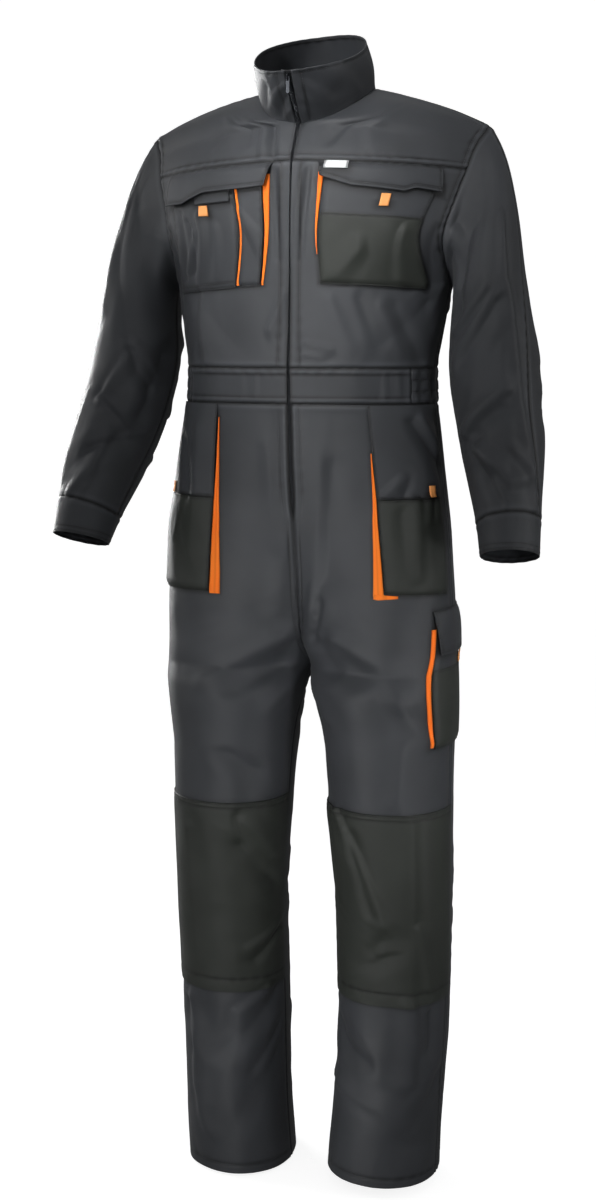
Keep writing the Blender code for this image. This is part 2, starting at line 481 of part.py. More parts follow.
# ---------------------------------------------------------------- what lies on the panels
# One row is a piece sewn onto a panel. bottom and top are its two edges, each a line through
# (share across, level) points. lifts are the clear space under its corners in millimetres:
# bottom inner, bottom outer, top inner, top outer.
Patch = namedtuple("Patch", "name surface side bottom top columns rows lifts wall paint")
ON_PANEL = (2.0, 2.0, 2.0, 2.0)
ON_POCKET = (4.3, 4.3, 4.3, 4.3)
FLAP = (5.2, 5.2, 0.7, 0.7)
BELLOWS = 0.0012        # wall of the orange bellows, tabs and label
TWILL, OXFORD, ORANGE = "main twill", "dark oxford", "orange poplin"
PATCHES = [
    # wearer's right chest: a pocket, a narrow pen pocket inwards of it, one flap over both
    Patch("chest_pocket_right", chest, RIGHT, [(0.316, -0.267), (0.790, -0.272)],
          [(0.362, -0.130), (0.865, -0.133)], 6, 6, ON_PANEL, CLOTH, TWILL),
    Patch("pen_pocket_right", chest, RIGHT, [(0.164, -0.265), (0.292, -0.266)],
          [(0.172, -0.128), (0.336, -0.128)], 2, 6, ON_PANEL, CLOTH, TWILL),
    Patch("chest_bellows_right", chest, RIGHT, [(0.297, -0.264), (0.311, -0.264)],
          [(0.341, -0.132), (0.357, -0.132)], 1, 6, (1.2, 1.2, 1.2, 1.2), BELLOWS, ORANGE),
    Patch("pen_bellows_right", chest, RIGHT, [(0.148, -0.264), (0.159, -0.264)],
          [(0.122, -0.122), (0.167, -0.122)], 2, 6, (1.2, 1.8, 0.9, 1.8), BELLOWS, ORANGE),
    Patch("small_flap_right", chest, RIGHT, [(0.385, -0.1535), (0.630, -0.1545)],
          [(0.385, -0.136), (0.630, -0.138)], 3, 1, ON_POCKET, CLOTH, TWILL),
    Patch("chest_flap_right", chest, RIGHT,
          [(0.150, -0.137), (0.330, -0.1385), (0.560, -0.1395), (0.670, -0.147), (0.730, -0.152), (0.880, -0.150)],
          [(0.105, -0.1075), (0.840, -0.1075)], 10, 4, (7.4, 7.4, 0.7, 0.7), CLOTH, TWILL),
    Patch("chest_tab_right", chest, RIGHT, [(0.545, -0.171), (0.605, -0.171)],
          [(0.545, -0.1565), (0.605, -0.1565)], 1, 1, ON_POCKET, BELLOWS, ORANGE),
    # wearer's left chest: a pocket under a wide flap, its lower part covered in oxford
    Patch("chest_pocket_left", chest, LEFT, [(0.170, -0.262), (0.765, -0.268)],
          [(0.200, -0.126), (0.860, -0.130)], 6, 6, ON_PANEL, CLOTH, TWILL),
    Patch("chest_bellows_left", chest, LEFT, [(0.168, -0.225), (0.172, -0.225)],
          [(0.160, -0.121), (0.192, -0.121)], 1, 5, (1.2, 1.6, 0.9, 1.6), BELLOWS, ORANGE),
    Patch("chest_flap_left", chest, LEFT,
          [(0.172, -0.126), (0.360, -0.1365), (0.670, -0.1415), (0.730, -0.1365), (0.885, -0.1385)],
          [(0.150, -0.1075), (0.850, -0.1075)], 10, 4, FLAP, CLOTH, TWILL),
    Patch("chest_tab_left", chest, LEFT, [(0.545, -0.162), (0.600, -0.162)],
          [(0.545, -0.1455), (0.600, -0.1455)], 1, 1, ON_POCKET, BELLOWS, ORANGE),
    Patch("label_left", chest, LEFT, [(0.190, -0.1175), (0.325, -0.1175)],
          [(0.190, -0.1085), (0.325, -0.1085)], 2, 1, (6.6, 6.6, 3.9, 3.9), 0.0010, "white tape"),
    # hip pockets, from the waistband down, the lower part in oxford
    Patch("hip_pocket_left", leg_front, LEFT, [(0.503, -0.5395), (0.915, -0.5395)],
          [(0.472, -0.4185), (0.930, -0.4185)], 5, 5, (2.2, 2.2, 0.8, 0.8), CLOTH, TWILL),
    Patch("hip_patch_left", leg_front, LEFT, [(0.537, -0.664), (0.920, -0.667)],
          [(0.504, -0.5405), (0.915, -0.5405)], 5, 5, (3.0, 3.0, 2.6, 2.6), CLOTH, OXFORD),
    Patch("hip_bellows_left", leg_front, LEFT, [(0.474, -0.667), (0.531, -0.667)],
          [(0.478, -0.480), (0.484, -0.480)], 1, 6, (1.0, 2.2, 1.2, 1.2), BELLOWS, ORANGE),
    Patch("hip_tab_left", leg_front, LEFT, [(0.806, -0.5385), (0.846, -0.5385)],
          [(0.806, -0.5235), (0.846, -0.5235)], 1, 1, ON_POCKET, BELLOWS, ORANGE),
    Patch("hip_pocket_right", leg_front, RIGHT, [(0.478, -0.5425), (0.915, -0.5425)],
          [(0.479, -0.4185), (0.930, -0.4185)], 5, 5, (2.2, 2.2, 0.8, 0.8), CLOTH, TWILL),
    Patch("hip_patch_right", leg_front, RIGHT, [(0.488, -0.671), (0.920, -0.671)],
          [(0.479, -0.5435), (0.915, -0.5435)], 5, 5, (3.0, 3.0, 2.6, 2.6), CLOTH, OXFORD),
    Patch("hip_bellows_right", leg_front, RIGHT, [(0.424, -0.673), (0.484, -0.673)],
          [(0.452, -0.462), (0.462, -0.462)], 1, 6, (1.0, 2.2, 1.2, 1.2), BELLOWS, ORANGE),
    Patch("hip_tab_right", leg_front, RIGHT, [(0.800, -0.5415), (0.840, -0.5415)],
          [(0.800, -0.5265), (0.840, -0.5265)], 1, 1, ON_POCKET, BELLOWS, ORANGE),
    # cargo pocket round the outer seam of the left thigh
    Patch("cargo_pocket_left", side_of_leg, LEFT, [(0.822, -0.872), (1.400, -0.872)],
          [(0.822, -0.712), (1.400, -0.712)], 9, 6, ON_PANEL, CLOTH, TWILL),
    Patch("cargo_bellows_left", side_of_leg, LEFT, [(0.796, -0.870), (0.817, -0.870)],
          [(0.790, -0.712), (0.817, -0.712)], 1, 6, (1.2, 1.8, 1.2, 1.8), BELLOWS, ORANGE),
    Patch("cargo_flap_left", side_of_leg, LEFT, [(0.835, -0.746), (1.420, -0.746)],
          [(0.795, -0.687), (1.420, -0.687)], 9, 4, (6.4, 6.4, 0.7, 0.7), CLOTH, TWILL),
    Patch("cargo_tab_left", side_of_leg, LEFT, [(1.060, -0.765), (1.105, -0.765)],
          [(1.060, -0.7490), (1.105, -0.7490)], 1, 1, (6.3, 6.3, 6.3, 6.3), BELLOWS, ORANGE),
]

# A cover is cut to some of a pocket's own rows and columns and lies close on it.
Cover = namedtuple("Cover", "name under rows columns paint")
COVERS = [
    Cover("chest_patch_left", "chest_pocket_left", (0, 4), (0, 6), OXFORD),
    Cover("cargo_patch_left", "cargo_pocket_left", (0, 4), (0, 9), OXFORD),
]


def along_line(points, count):
    """Evenly spaced places along a line through (share, level) points."""
    points = np.array(points)
    stops = (points[:, 0] - points[0, 0]) / (points[-1, 0] - points[0, 0])
    wanted = np.linspace(0, 1, count)
    return np.stack([np.interp(wanted, stops, points[:, 0]), np.interp(wanted, stops, points[:, 1])], 1)


def patch_grid(patch):
    """A sewn-on piece's points, its ways out, and the clear space under each point."""
    low = along_line(patch.bottom, patch.columns + 1)
    high = along_line(patch.top, patch.columns + 1)
    rise = np.linspace(0, 1, patch.rows + 1)[:, None, None]
    place = low + (high - low) * rise
    across, levels = place[..., 0], place[..., 1]
    points = side_points(patch.surface, patch.side, across, levels)
    normals = out_of(patch.surface, across.ravel(), levels.ravel()).reshape(points.shape)
    if patch.side == RIGHT:
        normals = mirrored(normals)
    share = np.linspace(0, 1, patch.columns + 1)
    low_lift = patch.lifts[0] + (patch.lifts[1] - patch.lifts[0]) * share
    high_lift = patch.lifts[2] + (patch.lifts[3] - patch.lifts[2]) * share
    lifts = (low_lift + (high_lift - low_lift) * rise[..., 0] ** 3) / 1000
    return points, normals, CLOTH + lifts


# ---------------------------------------------------------------- making the objects
PAINTS = {
    "main twill": ("#47484C", 0.85, 0.0),
    "dark oxford": ("#2F322F", 0.85, 0.0),
    "orange poplin": ("#F47B20", 0.8, 0.0),
    "white tape": ("#E6E6E2", 0.8, 0.0),
    "zip tape": ("#232427", 0.85, 0.0),
    "zip metal": ("#3A3B3D", 0.4, 1.0),
}


def paint(name):
    material = bpy.data.materials.get(name)
    if material is None:
        colour, roughness, metallic = PAINTS[name]
        channels = [int(colour[k : k + 2], 16) / 255 for k in (1, 3, 5)]
        linear = [c / 12.92 if c <= 0.04045 else ((c + 0.055) / 1.055) ** 2.4 for c in channels]
        material = bpy.data.materials.new(name)
        material.use_nodes = True
        shader = material.node_tree.nodes["Principled BSDF"]
        shader.inputs["Base Color"].default_value = (*linear, 1)
        shader.inputs["Roughness"].default_value = roughness
        shader.inputs["Metallic"].default_value = metallic
        material.diffuse_color = (*linear, 1)
    return material


def add_object(name, bm, paint_name, parent, place=(0, 0, 0)):
    mesh = bpy.data.meshes.new(name)
    bm.to_mesh(mesh)
    bm.free()
    mesh.shade_smooth()
    mesh.set_sharp_from_angle(angle=math.radians(40))
    mesh.materials.append(paint(paint_name))
    made = bpy.data.objects.new(name, mesh)
    made.location = place
    made.parent = parent
    bpy.context.scene.collection.objects.link(made)
    return made


def cloth(name, points, normals, paint_name, parent, wall=CLOTH, lift=0.0):
    """One piece of cloth: a grid moved onto its points, then extruded outwards by the wall."""
    rows, columns = points.shape[:2]
    bm = bmesh.new()
    bmesh.ops.create_grid(bm, x_segments=columns - 1, y_segments=rows - 1, size=1)
    number = bm.verts.layers.int.new("number")
    for k, vert in enumerate(bm.verts):
        vert[number] = k
    bmesh.ops.extrude_face_region(bm, geom=bm.faces[:])
    flat_points = points.reshape(-1, 3)
    flat_normals = normals.reshape(-1, 3)
    lifts = np.broadcast_to(lift, (rows, columns)).ravel()
    for order, vert in enumerate(bm.verts):
        k = vert[number]
        height = lifts[k] + (0 if order < rows * columns else wall)
        vert.co = flat_points[k] + flat_normals[k] * height
    if bm.calc_volume(signed=True) < 0:
        bmesh.ops.reverse_faces(bm, faces=bm.faces[:])
    bmesh.ops.triangulate(bm, faces=bm.faces[:], quad_method="SHORT_EDGE")
    return add_object(name, bm, paint_name, parent)


# ---------------------------------------------------------------- the suit
def panel_points():
    """The grid of every panel, by name. Rows run up and columns outwards, so the cloth faces out."""
    front_shares = spaced(0, (1, len(ARMHOLE_FRONT) - 1))
    back_shares = spaced(0, (1, len(ARMHOLE_BACK) - 1))
    found = {}
    for side, end in ((LEFT, "_left"), (RIGHT, "_right")):
        made = {
            "front": side_points(chest, side, ACROSS, CHEST_LEVELS),
            "yoke": side_points(chest, side, ACROSS, YOKE_LEVELS),
            "back": side_points(back, side, ACROSS, BACK_LEVELS),
            "waistband": side_points(chest, side, ACROSS[:7], WAIST_LEVELS),
            "leg_front": side_points(leg_front, side, LEG_ACROSS, LEG_LEVELS),
            "leg_back": side_points(leg_back, side, LEG_ACROSS, LEG_LEVELS),
            "sleeve_front": side_points(sleeve_front, side, front_shares, SLEEVE_RUNS),
            "sleeve_back": side_points(sleeve_back, side, back_shares, SLEEVE_RUNS),
        }
        round_front = side_points(sleeve_front, side, front_shares, CUFF_RUNS)
        round_back = side_points(sleeve_back, side, back_shares, CUFF_RUNS)
        made["cuff"] = np.concatenate([round_front, round_back[:, -2::-1]], axis=1)
        for name, points in made.items():
            turned = name in ("back", "leg_back", "sleeve_front", "cuff")
            found[name + end] = points[:, ::-1] if turned != (side == RIGHT) else points
    found["collar"] = collar_points()
    found["waistband_back"] = elastic_points()
    return found


def collar_rim(degrees):
    """The collar's top edge, round from the centre front (0) by the wearer's left (90)."""
    turn = np.radians(degrees)
    forward = np.cos(turn)
    y = RIM_MIDDLE - np.where(forward > 0, RIM_FRONT, RIM_BACK) * forward
    share = (y - (RIM_MIDDLE - RIM_FRONT)) / (RIM_FRONT + RIM_BACK)
    level = RIM_FRONT_LEVEL + (RIM_BACK_LEVEL - RIM_FRONT_LEVEL) * share
    return np.stack([RIM_HALF_WIDTH * np.sin(turn), y, level], 1)


def collar_points():
    """The collar's grid, from the zip round the wearer's left and the back to the zip again."""
    front_levels = YOKE_LEVELS[1:]
    back_levels = BACK_LEVELS[10:]
    front_edge = chest(0 * front_levels, front_levels)
    back_edge = back(0 * back_levels, back_levels)[::-1]
    base = np.vstack([front_edge, back_edge[1:]])
    base = np.vstack([base, mirrored(base)[-2::-1]])
    degrees = spaced(3.4, (90, 5), (180, 5))
    degrees = np.concatenate([degrees, 360 - degrees[-2::-1]])
    rim = collar_rim(degrees)
    bulge = np.stack([np.sin(np.radians(degrees)), -np.cos(np.radians(degrees)), 0 * degrees], 1)
    rows = []
    for share in (0, 0.3, 0.65, 1):
        rows.append(base + (rim - base) * share + bulge * 0.012 * share * (1 - share))
    return np.array(rows)


def elastic_points():
    """The gathered part of the waistband: from the front of one side, round the back, to the other."""
    rows = []
    for level in ELASTIC_LEVELS:
        share = np.linspace(0, 1, 41)
        side = chest(0.75 + 0.25 * share, np.full(41, level))
        rear = back(share[::-1], np.full(41, level))
        half = np.vstack([side, rear[1:]])
        line = np.vstack([half, mirrored(half)[-2::-1]])
        run = np.concatenate([[0], np.cumsum(np.linalg.norm(np.diff(line, axis=0), axis=1))])
        places = np.linspace(0, run[-1], 4 * GATHERS + 1)
        rows.append(np.stack([np.interp(places, run, line[:, k]) for k in range(3)], 1))
    points = np.array(rows)
    column = np.arange(4 * GATHERS + 1)
    wave = np.sin(math.pi / 2 * column) * (GATHER + GATHER_UNEVEN * np.sin(1.1 * column))
    rise = np.linspace(0, math.pi, len(ELASTIC_LEVELS))
    return points + grid_normals(points) * (wave * np.sin(rise)[:, None] ** 0.5)[..., None]


def add_zip(parent):
    """The tape behind the opening, the slider at the collar's top and the pull that hangs from it."""
    collar = collar_points()[:, 0]
    body = chest(0 * CHEST_LEVELS, CHEST_LEVELS)
    neck = chest(0 * YOKE_LEVELS[:2], YOKE_LEVELS[:2])
    fly_levels = LEG_LEVELS[LEG_LEVELS >= FLY_END - 1e-6]
    fly = leg_front(0 * fly_levels, fly_levels)
    line = np.vstack([fly, body, neck[1:], collar[1:]])[:, 1:]
    points = np.empty((len(line), 4, 3))
    for column, x in enumerate((-TAPE_HALF_WIDTH, -TAPE_HALF_WIDTH / 3, TAPE_HALF_WIDTH / 3, TAPE_HALF_WIDTH)):
        points[:, column, 0] = x
        points[:, column, 1:] = line
    normals = grid_normals(points)
    at_neck = np.arange(len(line)) >= len(fly) + len(body) - 1
    depth = np.where(at_neck, TAPE_EDGE_NECK, TAPE_EDGE_BACK)[:, None] * (1, 0, 0, 1)
    depth += np.where(at_neck, TAPE_NECK_BACK, 0)[:, None]
    points[-1, :, 2] -= SEAM
    cloth("zip_tape", points, normals, "zip tape", parent, TAPE, -(LAY + TAPE + depth))

    up = Vector((0, *(collar[-1] - collar[-2])[1:])).normalized()
    out = Vector((1, 0, 0)).cross(up)
    frame = Matrix.Translation(Vector((0, *collar[-1][1:])) - up * SLIDER_DROP)
    frame @= Matrix((Vector((1, 0, 0)), -out, up)).transposed().to_4x4()
    slider = add_slider(parent)
    slider.matrix_world = frame
    add_pull(parent, frame @ Vector((0, -PULL_AXIS, 0)))


def box(bm, low, high):
    """A box between two corners."""
    made = bmesh.ops.create_cube(bm, size=1)
    low, high = Vector(low), Vector(high)
    bmesh.ops.scale(bm, vec=high - low, verts=made["verts"])
    bmesh.ops.translate(bm, vec=(low + high) / 2, verts=made["verts"])


def add_slider(parent):
    """The slider's body with an arched bridge along its front: x across, -y out, z up the zip."""
    bm = bmesh.new()
    half, low, high = SLIDER_WIDTH / 2, -SLIDER_LENGTH / 2, SLIDER_LENGTH / 2
    box(bm, (-half, -SLIDER_FACE, low), (half, -0.0001, high))
    for vert in bm.verts:
        if vert.co.z < 0:
            vert.co.x *= 0.7
    edges = [e for e in bm.edges if abs(e.verts[0].co.y - e.verts[1].co.y) > 0.001]
    bmesh.ops.bevel(bm, geom=edges, offset=0.0009, segments=2, profile=0.5, affect="EDGES", material=-1)
    body = add_object("zip_slider", bm, "zip metal", parent)
    bm = bmesh.new()
    half = BRIDGE_WIDTH / 2
    rise = SLIDER_FACE + BRIDGE_RISE
    foot, sole = SLIDER_FACE - 0.0006, SLIDER_FACE
    outer = [(foot, low + 0.0006), (rise - 0.0006, low + 0.0006), (rise, low + 0.0014),
             (rise, high - 0.0014), (rise - 0.0006, high - 0.0006), (foot, high - 0.0006)]
    inner = [(foot, high - 0.0016), (rise - 0.0008, high - 0.0020), (rise - 0.0008, low + 0.0020), (foot, low + 0.0016)]
    ring = [bm.verts.new((-half, -y, z)) for y, z in outer + inner]
    face = bm.faces.new(ring)
    made = bmesh.ops.extrude_face_region(bm, geom=[face])
    verts = [g for g in made["geom"] if isinstance(g, bmesh.types.BMVert)]
    bmesh.ops.translate(bm, vec=(BRIDGE_WIDTH, 0, 0), verts=verts)
    bmesh.ops.recalc_face_normals(bm, faces=bm.faces[:])
    bridge = add_object("zip_bridge_join", bm, "zip metal", body)
    join(body, bridge, "UNION")
    return body


def join(target, tool, operation):
    tool.hide_render = True
    tool.display_type = "WIRE"
    modifier = target.modifiers.new(operation.lower(), "BOOLEAN")
    modifier.operation = operation
    modifier.object = tool


def add_pull(parent, axis):
    """The pull, hanging plumb from a bar under the bridge. Its origin is on the bar, along X."""
    bm = bmesh.new()
    half, bar = PULL_WIDTH / 2, PULL_THICK / 2
    outline = [(-0.7 * half, bar), (0.7 * half, bar), (half, -0.003), (0.8 * half, -0.010)]
    for k in range(7):
        turn = math.pi * k / 6
        outline.append((half * math.cos(turn), -(PULL_LENGTH - half) - half * math.sin(turn)))
    outline += [(-0.8 * half, -0.010), (-half, -0.003)]
    face = bm.faces.new([bm.verts.new((x, -bar, z)) for x, z in outline])
    made = bmesh.ops.extrude_face_region(bm, geom=[face])
    verts = [g for g in made["geom"] if isinstance(g, bmesh.types.BMVert)]
    bmesh.ops.translate(bm, vec=(0, PULL_THICK, 0), verts=verts)
    bmesh.ops.recalc_face_normals(bm, faces=bm.faces[:])
    pull = add_object("zip_pull", bm, "zip metal", parent, axis)
    bm = bmesh.new()
    box(bm, (-EYE_HALF, -0.004, -EYE_END), (EYE_HALF, 0.004, -bar))
    join(pull, add_object("zip_eye_cut", bm, "zip metal", pull), "DIFFERENCE")


def clear_scene():
    for old in list(bpy.data.objects):
        bpy.data.objects.remove(old)


def main():
    clear_scene()
    suit = bpy.data.objects.new("suit", None)
    bpy.context.scene.collection.objects.link(suit)
    panels = {name: (points, grid_normals(points)) for name, points in panel_points().items()}
    for name, (points, normals) in join_normals(panels).items():
        cloth(name, drawn_in(points, normals, SEAM), normals, TWILL, suit)
    for side in ("left", "right"):
        points, normals = panels["leg_front_" + side]
        knee = slice(KNEE_ROWS[0], KNEE_ROWS[1] + 1)
        points, normals = points[knee], normals[knee]
        cloth("knee_patch_" + side, drawn_in(points, normals, 0.001), normals, OXFORD, suit, CLOTH, CLOTH + LAY)
    grids = {}
    for patch in PATCHES:
        grids[patch.name] = patch_grid(patch)
        points, normals, lifts = grids[patch.name]
        cloth(patch.name, points, normals, patch.paint, suit, patch.wall, lifts)
    for cover in COVERS:
        rows, columns = slice(cover.rows[0], cover.rows[1] + 1), slice(cover.columns[0], cover.columns[1] + 1)
        points, normals, lifts = (part[rows, columns] for part in grids[cover.under])
        cloth(cover.name, drawn_in(points, normals, 0.0006), normals, cover.paint, suit, CLOTH, lifts + CLOTH + LAY)
    add_zip(suit)


main()
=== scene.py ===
import json
import math

import bmesh
import bpy
import numpy as np
from mathutils import Matrix, Vector, noise

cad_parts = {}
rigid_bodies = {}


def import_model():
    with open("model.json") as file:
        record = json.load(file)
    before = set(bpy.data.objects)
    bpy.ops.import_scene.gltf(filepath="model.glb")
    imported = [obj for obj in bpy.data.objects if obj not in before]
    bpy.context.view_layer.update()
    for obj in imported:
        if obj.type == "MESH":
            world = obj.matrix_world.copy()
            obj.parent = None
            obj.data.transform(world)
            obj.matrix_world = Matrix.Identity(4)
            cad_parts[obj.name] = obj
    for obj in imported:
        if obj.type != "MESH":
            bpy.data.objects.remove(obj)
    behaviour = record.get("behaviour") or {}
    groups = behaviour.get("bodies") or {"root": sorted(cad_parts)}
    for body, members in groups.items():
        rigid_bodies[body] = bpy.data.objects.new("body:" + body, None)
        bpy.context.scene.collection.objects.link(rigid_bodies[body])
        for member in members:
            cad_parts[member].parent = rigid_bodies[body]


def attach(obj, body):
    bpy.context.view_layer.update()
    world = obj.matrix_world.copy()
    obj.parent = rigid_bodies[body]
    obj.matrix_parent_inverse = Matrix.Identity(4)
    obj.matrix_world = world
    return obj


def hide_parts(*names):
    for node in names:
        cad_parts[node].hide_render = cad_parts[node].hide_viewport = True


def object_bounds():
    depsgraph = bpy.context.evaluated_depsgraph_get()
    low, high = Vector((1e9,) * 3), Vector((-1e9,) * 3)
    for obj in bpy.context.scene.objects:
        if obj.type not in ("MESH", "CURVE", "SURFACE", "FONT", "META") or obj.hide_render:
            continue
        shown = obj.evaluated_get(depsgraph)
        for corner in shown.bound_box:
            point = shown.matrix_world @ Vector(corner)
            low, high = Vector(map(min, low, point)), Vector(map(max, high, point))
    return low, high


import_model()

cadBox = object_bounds()
scene = bpy.context.scene
left, right, both = 1, -1, 0    # the wearer's sides; left is +X

print("camera and light")
view = {
    "side": 18.0,          # degrees towards the wearer's left
    "distance": 2.35,
    "height": -0.32,
    "down": 8.95,          # degrees below the horizon
    "turn": 0.466,         # degrees to the left, so the suit stands a little right of the middle
    "focal": 51.66,
}


def addObject(name, data):
    made = bpy.data.objects.new(name, data)
    scene.collection.objects.link(made)
    return made


def meshOf(name, bm):
    mesh = bpy.data.meshes.new(name)
    bm.to_mesh(mesh)
    bm.free()
    return mesh


def addCamera():
    heading = math.radians(90 + view["side"] + view["turn"])
    down = math.radians(view["down"])
    ahead = Vector((math.cos(heading) * math.cos(down), math.sin(heading) * math.cos(down), -math.sin(down)))
    across = ahead.cross(Vector((0, 0, 1))).normalized()
    up = across.cross(ahead)
    camera = addObject("camera", bpy.data.cameras.new("camera"))
    place = Matrix((across, up, -ahead)).transposed().to_4x4()
    side, distance = math.radians(view["side"]), view["distance"]
    place.translation = (distance * math.sin(side), -distance * math.cos(side), view["height"])
    camera.matrix_world = place
    camera.data.sensor_fit = "VERTICAL"
    camera.data.sensor_height = 36
    camera.data.lens = view["focal"]
    scene.camera = camera


addCamera()

scene.view_settings.view_transform = "Standard"
# soft boxes: place, width and height, what they point at, watts, how wide their grid lets them shine
lamps = {
    "keyLamp": ((-0.30, -1.9, 1.50), (0.35, 0.35), (0.02, 0.0, -0.20), 0.42, 10),
    "stripLamp": ((-0.48, -2.2, -0.72), (0.25, 2.5), (0.04, 0.0, -0.72), 1.4, 12),
    "backLamp": ((-2.8, 2.2, -0.2), (1.2, 1.6), (0.0, 0.0, -0.65), 13, 60),
    "thighLamp": ((2.1, -1.4, -1.0), (0.4, 0.5), (0.18, 0.0, -0.86), 0.34, 16),
    "leftLamp": ((2.9, 0.2, 0.3), (0.8, 1.8), (0.0, 0.1, -0.65), 2.2, 60),
    "rightLamp": ((-2.9, 0.1, 0.3), (0.8, 1.8), (0.0, 0.1, -0.65), 2.8, 60),
}
for name, (place, (width, height), target, watts, grid) in lamps.items():
    lamp = addObject(name, bpy.data.lights.new(name, "AREA"))
    lamp.data.shape = "RECTANGLE"
    lamp.data.size = width
    lamp.data.size_y = height
    lamp.data.energy = watts
    lamp.data.spread = math.radians(grid)
    lamp.location = place
    lamp.rotation_euler = (Vector(target) - Vector(place)).to_track_quat("-Z", "Y").to_euler()


def linear(colour):
    # sRGB hex to linear rgba
    channels = [int(colour[k : k + 2], 16) / 255 for k in (1, 3, 5)]
    return (*[c / 12.92 if c <= 0.04045 else ((c + 0.055) / 1.055) ** 2.4 for c in channels], 1)


def addNode(tree, kind, values=(), links=()):
    node = tree.nodes.new("ShaderNode" + kind)
    for key, value in dict(values).items():
        if isinstance(key, str) and hasattr(node, key):
            setattr(node, key, value)
        else:
            node.inputs[key].default_value = value
    for key, socket in dict(links).items():
        tree.links.new(socket, node.inputs[key])
    return node


# a pale room, bright in front of the suit and above it, dim at its sides and low down
scene.world = bpy.data.worlds.new("paleRoom")
scene.world.use_nodes = True
room = scene.world.node_tree
way = addNode(room, "TexCoord").outputs["Generated"]
bright = {"operation": "DOT_PRODUCT", 1: (-0.15, -0.70, 0.70)}
facing = addNode(room, "VectorMath", bright, {0: way}).outputs["Value"]
glow = {"From Min": -0.6, "From Max": 1.0, "To Min": 0.1, "To Max": 0.45}
strength = addNode(room, "MapRange", glow, {"Value": facing})
room.nodes["Background"].inputs["Color"].default_value = (1, 1, 1, 1)
room.links.new(strength.outputs["Result"], room.nodes["Background"].inputs["Strength"])

print("materials")
# colour and paler colour, pitch of the weave in mm, weave, roughness, sheen; the real pitch is about half of
# it, drawn coarser so that it shows
finishes = {
    # polyester and cotton twill: fine diagonal ribs, a slight sheen where it turns away
    "greyTwill": ("#2b2d30", "#37393d", 1.1, "twill", 0.5, 0.05),
    # oxford: pairs of threads over and under, coarse, a little shinier than the twill, olive black
    "darkOxford": ("#20231f", "#2f322e", 1.3, "basket", 0.52, 0.03),
    # dyed poplin: flat and even, bright
    "orangePoplin": ("#fe7014", "#ff8c2c", 0.8, "plain", 0.8, 0.05),
    # woven ribbon of the pull tabs: ribbed, orange, a little shiny; its orange is painted paler, a painted
    # highlight of glare
    "orangeTape": ("#e58a44", "#f5ad68", 0.9, "ribs", 0.5, 0.0),
    # polyester label tape: ribbed and white
    "whiteTape": ("#d9dadb", "#f2f3f4", 0.9, "ribs", 0.6, 0.0),
    # knitted zip tape: dull and black
    "zipTape": ("#141517", "#1f2023", 1.2, "basket", 0.85, 0.1),
    # spun polyester thread: a little paler than the cloth
    "greyThread": ("#3e4045", "#505257", 0.5, "ribs", 0.6, 0.2),
    "darkThread": ("#20231f", "#363a36", 0.5, "ribs", 0.6, 0.2),
}


def newMaterial(name, **values):
    material = bpy.data.materials.new(name)
    material.use_nodes = True
    shader = material.node_tree.nodes["Principled BSDF"]
    for key, value in values.items():
        shader.inputs[key.replace("_", " ")].default_value = value
    return material, material.node_tree, shader


